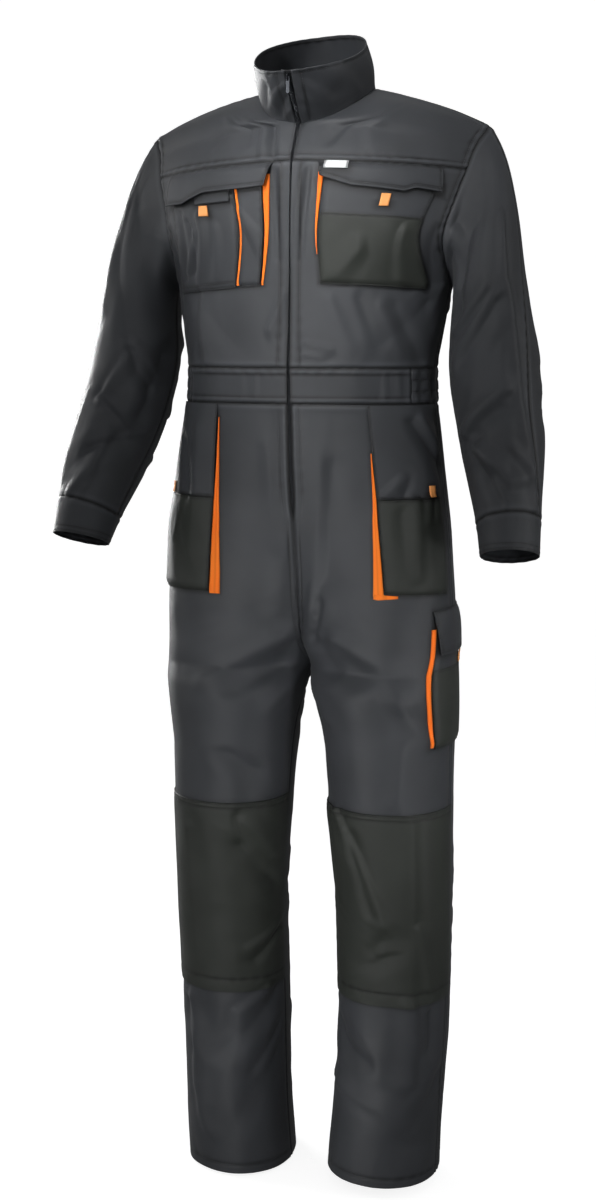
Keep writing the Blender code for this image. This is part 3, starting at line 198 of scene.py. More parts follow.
def wovenMaterial(name):
    colour, pale, thread, weaveName, roughness, sheen = finishes[name]
    gloss = {"Sheen_Weight": sheen, "Sheen_Roughness": 0.5, "Specular_IOR_Level": 0.32}
    material, tree, shader = newMaterial(name, **gloss)
    cut = addNode(tree, "UVMap", {"uv_map": "cut"}).outputs["UV"]
    place = addNode(tree, "TexCoord").outputs["Object"]

    def ribs(way):
        # one band of the wave texture to each thread
        perThread = 0.444 if way == "DIAGONAL" else 0.314
        settings = {"bands_direction": way, "Scale": perThread * 1000 / thread}
        settings.update({"Distortion": 0.6, "Detail": 1.0})
        return addNode(tree, "TexWave", settings, {"Vector": cut}).outputs["Fac"]

    if weaveName == "twill":
        weave = ribs("DIAGONAL")
    elif weaveName == "ribs":
        weave = ribs("X")
    else:
        over = "DIFFERENCE" if weaveName == "basket" else "MULTIPLY"
        kind = {"data_type": "RGBA", "blend_type": over, 0: 1.0}
        crossed = addNode(tree, "Mix", kind, {6: ribs("X"), 7: ribs("Y")})
        weave = addNode(tree, "RGBToBW", links={"Color": crossed.outputs[2]}).outputs["Val"]
    # uneven dye over a few centimetres, and threads of uneven thickness
    cloud = addNode(tree, "TexNoise", {"Scale": 14.0, "Detail": 4.0}, {"Vector": place}).outputs["Fac"]
    slub = addNode(tree, "TexNoise", {"Scale": 420.0, "Detail": 2.0}, {"Vector": place}).outputs["Fac"]
    mixed = addNode(tree, "Math", {"operation": "MULTIPLY_ADD", 1: 0.35}, {0: weave, 2: cloud})
    spread = addNode(tree, "MapRange", {"From Min": 0.3, "From Max": 0.95}, {"Value": mixed.outputs["Value"]})
    shades = {"data_type": "RGBA", 6: linear(colour), 7: linear(pale)}
    tone = addNode(tree, "Mix", shades, {0: spread.outputs["Result"]})
    # painted light and shade, from an attribute: seams, lines of stitches, the cloth beside sewn-on pieces,
    # the open slit, the inside of the thigh and the bellows' folds are painted darker as shade, and the
    # ridges over turned edges and the crests of puckers are painted paler as highlights
    paintedLightAndShade = addNode(tree, "Attribute", {"attribute_name": "paintedLightAndShade"}).outputs["Fac"]
    rubAndPaintedLight = {"From Min": -1.0, "To Min": 0.16, "To Max": 1.84}
    strength = addNode(tree, "MapRange", rubAndPaintedLight, {"Value": paintedLightAndShade}).outputs["Result"]
    shaded = addNode(tree, "VectorMath", {"operation": "SCALE"}, {0: tone.outputs[2], "Scale": strength})
    tree.links.new(shaded.outputs["Vector"], shader.inputs["Base Color"])
    wearAndPaintedLight = {"To Min": roughness - 0.06, "To Max": roughness + 0.08}
    rough = addNode(tree, "MapRange", wearAndPaintedLight, {"Value": cloud})
    tree.links.new(rough.outputs["Result"], shader.inputs["Roughness"])
    height = addNode(tree, "Math", {"operation": "MULTIPLY_ADD", 1: 0.8}, {0: slub, 2: weave})
    bump = addNode(tree, "Bump", {"Strength": 0.35, "Distance": 0.0003}, {"Height": height.outputs["Value"]})
    tree.links.new(bump.outputs["Normal"], shader.inputs["Normal"])
    return material


def metalMaterial(name, colour, pale, rough):
    # cast zinc with a dark lacquer: satin, dulled unevenly by rubbing
    material, tree, shader = newMaterial(name, Metallic=1.0)
    place = addNode(tree, "TexCoord").outputs["Object"]
    rubAndPaintedLight = addNode(tree, "TexNoise", {"Scale": 900.0, "Detail": 3.0}, {"Vector": place}).outputs["Fac"]
    dull = addNode(tree, "MapRange", {"To Min": rough - 0.08, "To Max": rough + 0.12}, {"Value": rubAndPaintedLight})
    tree.links.new(dull.outputs["Result"], shader.inputs["Roughness"])
    tone = addNode(tree, "Mix", {"data_type": "RGBA", 6: linear(colour), 7: linear(pale)}, {0: rubAndPaintedLight})
    tree.links.new(tone.outputs[2], shader.inputs["Base Color"])
    bump = addNode(tree, "Bump", {"Strength": 0.1, "Distance": 0.0002}, {"Height": rubAndPaintedLight})
    tree.links.new(bump.outputs["Normal"], shader.inputs["Normal"])
    return material


materials = {name: wovenMaterial(name) for name in finishes}
materials["zipMetal"] = metalMaterial("zipMetal", "#1d1e20", "#404246", 0.38)

print("surfaces")
# the neck's edge in mm
neck = {"halfWidth": 75, "middle": 32, "front": 88, "back": 75, "level": -7, "drop": 50, "rise": 12}
waistTop, waistBottom, yokeSeam = -0.370, -0.417, -0.106
kneeTop, kneeBottom, crotch, hem, thigh, flyEnd = -0.958, -1.236, -0.772, -1.500, -0.800, -0.570
slit, neckFront = 1.8, -0.057    # degrees, metres
legs = {left: (0.240, 0.034, -0.004), right: (-0.057, 0.070, 0.009)}    # slimmer about x, by, longer by
cuffRun, sleeveEnd = 0.450, 0.494


def neckline(degrees):
    # from the centre front (0) by the side of the neck (90) to the centre back (180)
    turn = math.radians(degrees)
    forward = math.cos(turn)
    x = neck["halfWidth"] * math.sin(turn)
    if forward > 0:
        return (x, neck["middle"] - neck["front"] * forward, neck["level"] - neck["drop"] * forward**1.3)
    return (x, neck["middle"] - neck["back"] * forward, neck["level"] + neck["rise"] * forward**2)


def archTable(rows):
    # from mm to metres; the two headings stay in degrees
    metres = [1 if place in (4, 9) else 1000 for place in range(12)]
    return [(*(value / each for value, each in zip(row, metres)), row[12]) for row in rows]


# an arch of cloth a row, in mm and degrees: level, inner x y z heading reach, outer x y z heading reach,
# crown, sharp edge
bodiceFront = archTable([
    (-417, 2, -97, -417, 0, 100, 173, -6, -417, 90, 60, 0, ""),
    (-370, 1.8, -99, -370, 0, 100, 172, -4, -370, 90, 60, 0, ""),
    (-320, 1.2, -96, -320, 0, 108, 179, 2, -322, 90, 66, 0, ""),
    (-260, 0.9, -93, -260, 0, 115, 189, 10, -262, 86, 62, 0, "outer"),
    (-200, 0.8, -93, -200, 0, 120, 188, -38, -206, 68, 35, 0, ""),
    (-145, 1, -90, -146, 0, 120, 200, -27, -158, 52, 42, 0, ""),
    (-106, 1.5, -84, -106, 0, 110, 212, -12, -118, 42, 50, 0, ""),
    (-57, *neckline(slit), 0, 70, 219, 4, -89, 32, 55, 4, "inner"),
    (-38, *neckline(30), -8, 60, 225, 13, -76, 24, 55, 6, ""),
    (-19, *neckline(60), -8, 52, 230, 21, -67, 14, 55, 8, ""),
    (0, *neckline(90), 0, 50, 233, 28, -61, 0, 55, 7, ""),
])
bodiceBack = archTable([
    (-417, 0, 88, -417, 0, 100, 173, -6, -417, -90, 62, 0, ""),
    (-370, 0, 88, -370, 0, 100, 172, -4, -370, -90, 60, 0, ""),
    (-320, 0, 104, -320, 0, 108, 179, 2, -322, -90, 68, 0, ""),
    (-260, 0, 126, -260, 0, 115, 189, 10, -262, -86, 70, 0, "outer"),
    (-200, 0, 142, -200, 0, 120, 190, 74, -205, -68, 40, 0, ""),
    (-145, 0, 149, -145, 0, 120, 198, 92, -152, -55, 45, 0, ""),
    (-98, 0, 147, -97, 0, 115, 209, 92, -112, -42, 50, 0, ""),
    (-50, 0, 133, -45, 0, 105, 219, 76, -85, -30, 55, 6, ""),
    (4, *neckline(180), 0, 75, 227, 52, -70, -20, 55, 8, "inner"),
    (6, *neckline(150), 6, 60, 230, 44, -66, -14, 55, 9, ""),
    (8, *neckline(120), 6, 52, 232, 36, -63, -8, 55, 9, ""),
    (10, *neckline(90), 0, 50, 233, 28, -61, 0, 55, 7, ""),
])
# a leg in mm and degrees: level, inner z, outer x y, then for its front and its back the inner x y heading
# reach and the outer reach, sharp edge
legRows = [
    (-1500, -1500, 186, -8, (27, -8, -90, 103, 103), (27, -8, 90, 124, 124), ""),
    (-1410, -1410, 190, -8, (34, -8, -90, 103, 103), (34, -8, 90, 129, 129), ""),
    (-1270, -1270, 196, -1, (40, -1, -90, 104, 104), (40, -1, 90, 131, 131), ""),
    (-1130, -1130, 199, -6, (41, -6, -90, 107, 107), (41, -6, 90, 133, 133), ""),
    (-990, -990, 200, -14, (31, -14, -90, 113, 113), (31, -14, 90, 140, 140), ""),
    (-860, -860, 201, -14, (20, -10, -90, 122, 120), (20, -10, 90, 155, 155), ""),
    (-800, -803, 201, -14, (6, -4, -86, 130, 120), (6, -4, 84, 160, 162), ""),
    (-772, -776, 200, -12, (0, 4, -76, 118, 116), (0, 4, 74, 155, 156), "inner"),
    (-742, -742, 200, -10, (0, -38, -52, 94, 106), (0, 58, 48, 110, 136), ""),
    (-695, -695, 200, -10, (0, -58, -32, 94, 96), (0, 100, 20, 100, 112), ""),
    (-640, -640, 197, -10, (0, -67, -18, 102, 86), (0, 118, 6, 108, 97), ""),
    (-570, -570, 192, -10, (0, -80, -8, 108, 74), (0, 117, 0, 110, 88), "inner"),
    (-545, -545, 189, -9, (2, -84, -5, 108, 70), (0, 113, 0, 110, 82), ""),
    (-490, -490, 182, -7, (2.2, -92, -1, 106, 64), (0, 102, 0, 106, 72), ""),
    (-417, -417, 173, -6, (2, -97, 0, 100, 60), (0, 88, 0, 100, 62), ""),
]


def legTable(part, outerHeading):
    rows = []
    for level, z, outerX, outerY, *parts, sharp in legRows:
        x, y, heading, near, far = parts[part]
        rows.append((level, x, y, z, heading, near, outerX, outerY, level, outerHeading, far, 0, sharp))
    return archTable(rows)


legFront, legBack = legTable(0, 90), legTable(1, -90)
# a ring round the sleeve a row: run, outer x z, inner x z, y, half depth, pitch, seam
sleeveRings = [
    (0.150, 0.288, -0.255, 0.198, -0.306, -0.002, 0.070, 4, 12),
    (0.235, 0.306, -0.345, 0.196, -0.368, -0.010, 0.070, 8, 26),
    (0.295, 0.317, -0.410, 0.207, -0.428, -0.024, 0.068, 14, 34),
    (0.345, 0.324, -0.455, 0.219, -0.473, -0.042, 0.064, 20, 34),
    (0.395, 0.328, -0.500, 0.235, -0.520, -0.064, 0.058, 25, 24),
    (0.445, 0.331, -0.551, 0.251, -0.566, -0.086, 0.050, 23, 12),
    (0.500, 0.334, -0.607, 0.262, -0.612, -0.108, 0.041, 18, 4),
]


def throughRows(rows, marks):
    # every column at each mark, on a smooth curve that may turn sharply at a marked row
    data = np.array([row[: 12 if len(row) > 9 else 9] for row in rows], float)
    sharp = np.zeros(data.shape, bool)
    for number, row in enumerate(rows):
        if len(row) > 9 and row[12]:
            sharp[number, 1:6 if row[12] == "inner" else 1] = True
            sharp[number, 6:11] |= row[12] == "outer"
    places = data[:, 0]
    slope = np.diff(data, axis=0) / np.diff(places)[:, None]
    smooth = np.vstack([slope[:1], (data[2:] - data[:-2]) / (places[2:] - places[:-2])[:, None], slope[-1:]])
    marks = np.clip(marks, places[0], places[-1])
    k = np.clip(np.searchsorted(places, marks, side="right") - 1, 0, len(slope) - 1)
    step = (places[k + 1] - places[k])[:, None]
    t = (marks - places[k])[:, None] / step
    leaving = np.where(sharp[k], slope[k], smooth[k])
    arriving = np.where(sharp[k + 1], slope[k], smooth[k + 1])
    return (
        data[k] * (2 * t**3 - 3 * t**2 + 1) + data[k + 1] * (3 * t**2 - 2 * t**3)
        + leaving * step * (t**3 - 2 * t**2 + t) + arriving * step * (t**3 - t**2)
    )


def bell(x):
    return np.exp(-(x**2))


def unit(ways):
    return ways / np.maximum(np.linalg.norm(ways, axis=-1, keepdims=True), 1e-12)


def runAlong(line):
    # distances along a line of points
    return np.concatenate([[0], np.cumsum(np.linalg.norm(np.diff(line, axis=0), axis=1))])


def bezier(start, leave, arrive, end, t):
    return (1 - t) ** 3 * start + 3 * t * (1 - t) ** 2 * leave + 3 * t**2 * (1 - t) * arrive + t**3 * end


def archPoints(rows, levels, shares):
    row = throughRows(rows, levels)
    inner, outer = row[:, 1:4], row[:, 6:9]
    start, end = np.radians(row[:, 4]), np.radians(row[:, 9])
    leave = inner + row[:, 5:6] * np.stack([np.cos(start), np.sin(start), 0 * start], 1)
    arrive = outer - row[:, 10:11] * np.stack([np.cos(end), np.sin(end), 0 * end], 1)
    leave[:, 2] += (outer - inner)[:, 2] / 3 + row[:, 11] * 4 / 3
    arrive[:, 2] += (inner - outer)[:, 2] / 3 + row[:, 11] * 4 / 3
    t = np.linspace(0, 1, 49)
    found = []
    for k in range(len(levels)):
        line = bezier(inner[k], leave[k], arrive[k], outer[k], t[:, None])
        run = runAlong(line)
        at = np.interp(shares * run[-1], run, t)[:, None]
        found.append(bezier(inner[k], leave[k], arrive[k], outer[k], at))
    return np.array(found)


def ringPoints(shares, run, half):
    row = throughRows(sleeveRings, np.array([run]))[0]
    outer, inner = row[[1, 5, 2]], row[[3, 5, 4]]
    pitch, seam = math.radians(row[7]), math.radians(row[8])
    turn = math.pi - (math.pi - half * seam) * shares
    backWay = row[6] * np.array([0, math.cos(pitch), -math.sin(pitch)])
    middle, reach = (outer + inner) / 2, (outer - inner) / 2
    return middle + reach * np.cos(turn)[:, None] - half * backWay * np.sin(turn)[:, None]


def sleevePoints(armhole, runs, shares, half):
    first = sleeveRings[0][0]
    end = ringPoints(shares, first, half)
    step = 0.01
    way = (ringPoints(shares, first + step, half) - end) / step
    # it leaves the armhole outwards and down, and at its outer side a little forwards
    out = np.stack([0.7 + 0 * shares, -0.25 * shares, -0.7 - 0.3 * shares], 1)
    size = np.linalg.norm(end - armhole, axis=1, keepdims=True)
    out *= size / 3 / np.linalg.norm(out, axis=1, keepdims=True)
    rows = []
    for run in runs:
        if run < first:
            rows.append(bezier(armhole, armhole + out, end - way * first / 3, end, run / first))
        else:
            rows.append(ringPoints(shares, run, half))
    return np.array(rows)


def wayOut(points, sign):
    return unit(np.cross(np.gradient(points, axis=1), np.gradient(points, axis=0)) * sign)


surfaces = {}
fine = np.linspace(0, 1, 121)


def addSurface(name, side, points, levels, sign, width, isLeg=False):
    points = points.copy()
    if side == right:
        points[..., 0] *= -1
    if isLeg:
        about, slimmer, longer = legs[side]
        below = np.clip((points[..., 2] - thigh) / (hem - thigh), 0, 1)
        points[..., 0] -= (points[..., 0] - about) * slimmer * np.clip(below * 8, 0, 1)
        points[..., 2] -= longer * below
    surfaces[name, side] = {
        "points": points, "out": wayOut(points, sign * side), "levels": levels, "span": 1, "width": width,
    }


def addRound(name, side, first, second):
    # one surface on from the other, past the seam that both end at
    a, b = surfaces[first, side], surfaces[second, side]
    surfaces[name, side] = {
        "points": np.concatenate([a["points"], b["points"][:, -2::-1]], axis=1),
        "out": np.concatenate([a["out"], b["out"][:, -2::-1]], axis=1),
        "levels": a["levels"], "span": 2, "width": a["width"],
    }


bodiceLevels = np.linspace(waistBottom, 0, 210)
backLevels = np.linspace(waistBottom, 0.010, 215)
legLevels = np.linspace(hem, waistBottom, 434)
runs = np.linspace(0, sleeveEnd, 210)
# the armhole's levels, from the underarm to the shoulder
armholeFront = [-0.260, -0.2215, -0.183, -0.1445, -0.106, -0.057, -0.0456, -0.0342, -0.0228, -0.0114, 0]
armholeBack = list(np.linspace(-0.260, 0.004, 7)) + list(np.linspace(0.004, 0.010, 6)[1:])
for side in (left, right):
    addSurface("chest", side, archPoints(bodiceFront, bodiceLevels, fine), bodiceLevels, 1, 0.25)
    addSurface("back", side, archPoints(bodiceBack, backLevels, fine), backLevels, -1, 0.26)
    addSurface("legFront", side, archPoints(legFront, legLevels, fine), legLevels, 1, 0.21, True)
    addSurface("legBack", side, archPoints(legBack, legLevels, fine), legLevels, -1, 0.26, True)
    for name, table, levels, half, width in (
        ("sleeveFront", bodiceFront, armholeFront, 1, 0.17), ("sleeveBack", bodiceBack, armholeBack, -1, 0.18)
    ):
        at = np.interp(fine, np.linspace(0, 1, len(levels)), levels)
        armhole = archPoints(table, at, np.array([1.0]))[:, 0]
        addSurface(name, side, sleevePoints(armhole, runs, fine, half), runs, -half, width)
    addRound("legRound", side, "legFront", "legBack")
    addRound("sleeveRound", side, "sleeveFront", "sleeveBack")


def sample(surface, across, levels):
    # points and ways out of a surface at any places on it
    found = []
    last = surface["points"].shape[1] - 1
    a = np.clip(across / surface["span"], 0, 1) * last
    rows = surface["levels"]
    b = np.clip((levels - rows[0]) / (rows[-1] - rows[0]), 0, 1) * (len(rows) - 1)
    i, j = np.minimum(a.astype(int), last - 1), np.minimum(b.astype(int), len(rows) - 2)
    fa, fb = (a - i)[..., None], (b - j)[..., None]
    for key in ("points", "out"):
        grid = surface[key]
        low = grid[j, i] * (1 - fa) + grid[j, i + 1] * fa
        high = grid[j + 1, i] * (1 - fa) + grid[j + 1, i + 1] * fa
        found.append(low * (1 - fb) + high * fb)
    return found[0], unit(found[1])


print("creases")
# soft ridges (height above 0) and troughs: surface and side, then for each its half width and height in mm
# and its path, as shares across in percent and levels in mm
creaseRows = [
    ("chest", right, (20, -2, 59, -285, 31, -346)),
    ("chest", left, (20, -2, 80, -285, 53, -345)),
    ("back", both, (22, 3.5, 12, -325, 70, -270)),
    ("back", left, (22, -3, 45, -90, 80, -200)),
    ("back", right, (22, -3, 50, -110, 80, -180)),
    ("legFront", right, (20, 3.5, 6, -730, 48, -769)),
    ("legFront", left, (20, 3, 6, -735, 46, -800)),
    ("legFront", right, (20, -3.5, 34, -1020, 5, -1095)),
    ("legFront", left, (20, 3, 22, -975, 53, -1110), (20, -2.4, 46, -1175, 62, -1145)),
    (
        "legFront", right, (18, 2.4, 69, -1300, 58, -1345, 67, -1450), (18, -3.5, 10, -1250, 46, -1320),
        (18, -3, 5, -1320, 30, -1384),
    ),
    (
        "legFront", left, (18, -3, 24, -1278, 38, -1365), (18, 3, 69, -1240, 71, -1285),
        (18, -3, 92, -1350, 69, -1432),
    ),
    ("legBack", both, (24, -4, 10, -810, 60, -845)),
    ("legBack", left, (22, -5, 15, -1060, 75, -1110)),
    ("legBack", right, (22, -5, 20, -1090, 80, -1060)),
    ("legBack", left, (20, 3.5, 30, -1280, 70, -1370)),
    ("legBack", right, (20, 3.5, 25, -1300, 65, -1350)),
    ("sleeveFront", right, (18, -3.5, 64, 303, 29, 343, 72, 415), (18, -4, 25, 317, 17, 225)),
    ("sleeveFront", left, (18, 3, 33, 243, 68, 176), (18, 3, 28, 336, 78, 289), (16, -2.5, 43, 410, 90, 405)),
    ("sleeveBack", both, (20, 3.5, 20, 200, 70, 240)),
    ("sleeveBack", left, (20, -4, 20, 330, 70, 300)),
    ("sleeveBack", right, (20, -4, 25, 320, 72, 345)),
    # finer ones: the right sleeve
    (
        "sleeveFront", right, (16, -3.5, 81, 66, 54, 164, 50, 211), (12, 2.5, 71, 60, 80, 180),
        (8, -1, 70, 35, 42, 60), (7, -2.6, 46, 233, 38, 261, 24, 277), (8, 2, 43, 222, 18, 258),
        (8, 2, 69, 310, 47, 241), (8, 2.7, 65, 315, 29, 350, 14, 340), (9, -2.1, 60, 388, 32, 366),
        (9, 2.6, 61, 443, 48, 412, 46, 365), (8, -1.6, 45, 446, 37, 415), (8, 1, 84, 300, 88, 420),
    ),
    # the left sleeve
    (
        "sleeveFront", left, (9, -3.5, 27, 15, 33, 60, 26, 110), (13, -4, 14, 30, 27, 91, 32, 164),
        (12, -4.2, 70, 175, 40, 241), (10, 2.6, 61, 146, 31, 190), (8, 3.2, 32, 343, 79, 289),
        (9, -2.6, 36, 362, 70, 320), (12, 2, 77, 234, 74, 289), (6, 2.6, 72, 80, 85, 216, 92, 334, 93, 440),
        (10, 4, 38, 366, 66, 418, 92, 410), (9, -3, 41, 397, 53, 440), (8, 2.5, 74, 376, 89, 402),
    ),
    # the chest and the yoke
    (
        "chest", right, (7, -2.2, 14, -50, 11, -100), (8, 1.6, 21, -44, 18, -94),
        (7, -1.4, 28, -38, 29, -74), (9, 0.9, 32, -36, 50, -80), (10, 2, 11, -321, 3, -279),
        (12, 2.5, 57, -280, 57, -361), (6, 1.2, 33, -166, 18, -205), (6, 1, 29, -186, 18, -225),
        (5, -2.2, 71, -176, 63, -241), (5, 2, 67, -193, 69, -241), (10, 1.4, 50, -190, 46, -250),
        (8, 2.6, 62, -170, 57, -262), (7, -2, 77, -165, 70, -250),
    ),
    ("chest", both, (5, -1.3, 10.5, -120, 7, -230), (4, 1, 6, -115, 4.5, -200)),
    (
        "chest", left, (10, 1, 23, -283, 36, -345), (9, -1.2, 39, -281, 51, -338),
        (12, -2.2, 59, -294, 80, -359), (10, 1.4, 52, -290, 66, -350), (5, 1.6, 10, -338, 25, -346),
        (5, 1.2, 8, -352, 20, -357), (12, 2, 44, -218, 29, -247), (8, 2, 73, -191, 61, -255),
        (7, -1.5, 30, -38, 20, -80), (9, 1, 36, -34, 42, -80),
    ),
    ("chest", both, (9, -1.8, 94, -190, 80, -262), (8, 1.6, 95, -225, 84, -290)),
    # the waistband's short gathers
    ("chest", right, (4, 0.9, 30, -377, 31, -410), (4, 0.8, 20, -375, 21, -408)),
    ("chest", left, (4, 1, 58, -377, 59, -411), (4, 1.1, 66, -376, 67, -410)),
    # the right leg
    (
        "legFront", right, (9, 2.6, 3, -722, 45, -768, 57, -788), (10, -2.6, 5, -745, 41, -801),
        (8, 1.8, 4, -770, 26, -830), (9, 1.6, 5, -600, 10, -690), (12, 1, 14, -470, 10, -600),
        (12, -2.6, 42, -891, 27, -915), (8, -2, 36, -977, 33, -1018),
        (9, -2, 34, -1021, 22, -1061, 10, -1083), (9, 1.8, 32, -986, 13, -1034),
        (8, -3.2, 7, -1156, 26, -1189), (7, 2, 6, -1140, 28, -1170), (14, 1.8, 66, -1000, 62, -1190),
        (9, 2.6, 69, -1251, 64, -1292, 67, -1367, 59, -1440), (9, -2.4, 76, -1262, 72, -1330),
        (9, 2.6, 17, -1235, 36, -1267), (9, -2.6, 8, -1300, 29, -1351), (14, 1.8, 34, -1285, 52, -1400),
    ),
    # the left leg
    (
        "legFront", left, (12, 3, 27, -728, 56, -758, 68, -807), (9, -2.4, 10, -725, 34, -770),
        (8, 1.8, 5, -750, 26, -840), (6, -2.2, 16, -680, 12, -734), (6, 1.6, 10, -660, 7, -720),
        (12, 1, 18, -480, 14, -640), (12, -1.1, 24, -500, 20, -650), (8, 2.4, 65, -801, 74, -845, 79, -864),
        (11, 2.2, 66, -869, 62, -942), (6, 2.6, 26, -961, 40, -1018, 52, -1094, 54, -1126),
        (8, -2.4, 36, -994, 47, -1099), (6, -1.6, 54, -1126, 47, -1156), (6, 1.2, 50, -1158, 60, -1150),
        (10, 2.4, 69, -967, 67, -1218), (6, 1.8, 71, -1121, 79, -1213),
        (9, 3.4, 68, -1232, 70, -1289, 70, -1346), (10, -3.6, 81, -1251, 82, -1305),
        (10, -2.6, 14, -1262, 23, -1297, 43, -1321), (11, 2.2, 14, -1359, 54, -1384, 73, -1424),
    ),
    # the hip pockets, whose bags show through
    (
        "legFront", left, (8, -3, 74, -440, 92, -500), (7, 2.4, 80, -435, 94, -485),
        (6, 2.2, 55, -533, 66, -512), (6, -2, 66, -536, 70, -512), (9, 3, 72, -545, 70, -640),
        (10, -2.2, 64, -560, 66, -650), (5, 1.8, 80, -540, 78, -570), (5, 1.8, 86, -540, 85, -566),
    ),
    ("legFront", right, (14, 2, 62, -450, 60, -620), (9, -1.8, 75, -470, 66, -530)),
    # the hidden sides
    ("legBack", both, (12, 2, 8, -760, 50, -700), (9, 2.2, 6, -790, 55, -800), (9, -1.8, 10, -860, 45, -910)),
    (
        "legBack", left, (8, 2.4, 10, -1030, 70, -1075), (8, -2.6, 20, -1100, 85, -1140),
        (8, 2, 12, -1140, 60, -1170),
    ),
    (
        "legBack", right, (8, 2.4, 28, -1056, 80, -1030), (8, -2.6, 18, -1120, 80, -1100),
        (8, 2, 25, -1160, 70, -1130),
    ),
    ("legBack", both, (16, -1.8, 40, -1330, 50, -1460)),
    ("back", both, (8, -1.8, 10, -350, 40, -300)),
    ("back", left, (9, 2, 45, -345, 85, -290)),
    ("back", right, (9, 2, 50, -350, 80, -300)),
    ("back", left, (9, 1.8, 60, -60, 92, -150)),
    ("back", right, (9, 1.8, 62, -70, 90, -140)),
    ("back", both, (18, 1.8, 30, -180, 34, -300)),
    (
        "sleeveBack", both, (8, 2.4, 15, 300, 60, 270), (8, 2.2, 20, 360, 65, 380),
        (8, -2, 30, 250, 72, 290), (16, -2, 60, 100, 55, 220),
    ),
]
creases = [(name, side, *row) for name, side, *rows in creaseRows for row in rows]
# patches of small irregular folds: surface, side, the middle as share across in percent and level in mm,
# reach in mm, the way the folds run in degrees from straight across, their spacing and height in mm
rumples = [
    ("sleeveFront", right, 38, 290, 70, -35, 15, 0.6),
    ("sleeveFront", left, 50, 270, 80, -25, 15, 0.9),
    ("sleeveBack", both, 40, 300, 80, 10, 19, 2.2),
    ("sleeveFront", both, 50, 425, 45, 8, 15, 1.1),
    ("sleeveBack", both, 50, 425, 45, 0, 15, 1.1),
    ("sleeveFront", both, 20, 50, 70, 60, 17, 1.8),
    ("sleeveBack", both, 20, 50, 70, 60, 17, 1.8),
    ("chest", both, 90, -250, 60, 60, 15, 1.3),
    ("chest", both, 55, -350, 60, 80, 15, 0.6),
    ("chest", both, 16, -68, 35, -60, 10, 0.6),
    ("back", both, 85, -240, 80, -60, 18, 1.6),
    ("back", both, 50, -345, 90, 80, 15, 1.6),
    ("back", both, 40, -80, 110, 20, 30, 1.2),
    ("legFront", both, 10, -730, 90, -25, 18, 1.5),
    ("legFront", both, 25, -1080, 110, -35, 22, 0.8),
    ("legFront", both, 45, -1330, 130, -50, 28, 1.5),
    ("legFront", both, 50, -1470, 70, 85, 22, 0.9),
    ("legFront", both, 75, -600, 90, 80, 20, 1.2),
    ("legBack", both, 15, -770, 110, 15, 21, 2.2),
    ("legBack", both, 50, -1100, 130, 5, 20, 2.6),
    ("legBack", both, 50, -1340, 130, 50, 28, 1.6),
    ("legBack", both, 45, -560, 120, 70, 30, 1.6),
]


# a crease's cross section: how sharp and how broad its ridge is, the hollow beside it, how much steeper its
# one side is and within how many metres, how it widens and sinks along its length, and how much higher a
# broad and a narrow one are built than listed
fold = {
    "round": 0.65, "sharp": 0.35, "fall": 1.9, "hollow": 0.16, "hollowAt": 1.9, "lean": 0.28,
    "leanWithin": 0.006, "widen": (0.85, 0.3), "sink": (1.08, 0.2), "broad": 15, "deeper": (1.15, 1.55),
}


def creaseHeight(u, levels, path, width, spread, height, number):
    # distance from a bent line; the crease is steeper on one side and fades along its length
    points = np.array(path) * (width, 1)
    steps = np.diff(points, axis=0)
    sizes = np.hypot(*steps.T)
    best, share, turn = 1e9 + 0 * u, 0 * u, 0 * u
    for start, step, size, before in zip(points, steps, sizes, np.cumsum(sizes) - sizes):
        t = np.clip(((u - start[0]) * step[0] + (levels - start[1]) * step[1]) / size**2, 0, 1)
        off = np.hypot(u - start[0] - t * step[0], levels - start[1] - t * step[1])
        aside = (levels - start[1]) * step[0] - (u - start[0]) * step[1]
        nearer = off < best
        best = np.where(nearer, off, best)
        share = np.where(nearer, (before + t * size) / sizes.sum(), share)
        turn = np.where(nearer, np.clip(aside / size / fold["leanWithin"], -1, 1), turn)
    lean = fold["lean"] if number % 2 else -fold["lean"]
    narrow, widen = fold["widen"]
    off = best * 1000 / (spread * (narrow + widen * share) * (1 + lean * turn))
    body = fold["round"] * bell(off) + fold["sharp"] * np.exp(-fold["fall"] * off)
    body = body - fold["hollow"] * np.exp(-((off - fold["hollowAt"]) ** 2) / 0.5)
    first, sink = fold["sink"]
    return height / 1000 * fold["deeper"][spread <= fold["broad"]] * body * (first - sink * share)


# a rumple: how fast it falls off and where it ends, how long and how close its folds are, how much they bend
# and how deep they sink
rumple = {"fall": 1.3, "end": 0.03, "long": 260, "close": 700, "bend": 0.9, "sink": 0.25}
# the soft uneven hang: hollows about ten centimetres wide, smaller ones on them, and in how many metres
# it fades out towards a seam
hang = {
    "perMetre": (10, 10, 6), "smaller": 0.45, "finer": 2.7, "height": 0.0016, "byWaist": 0.004,
    "fade": {"chest": 0.010, "sleeveFront": 0.016, "sleeveBack": 0.016}, "otherFade": 0.024,
}


def noiseOver(places):
    return np.array([noise.noise(Vector(place)) for place in places])


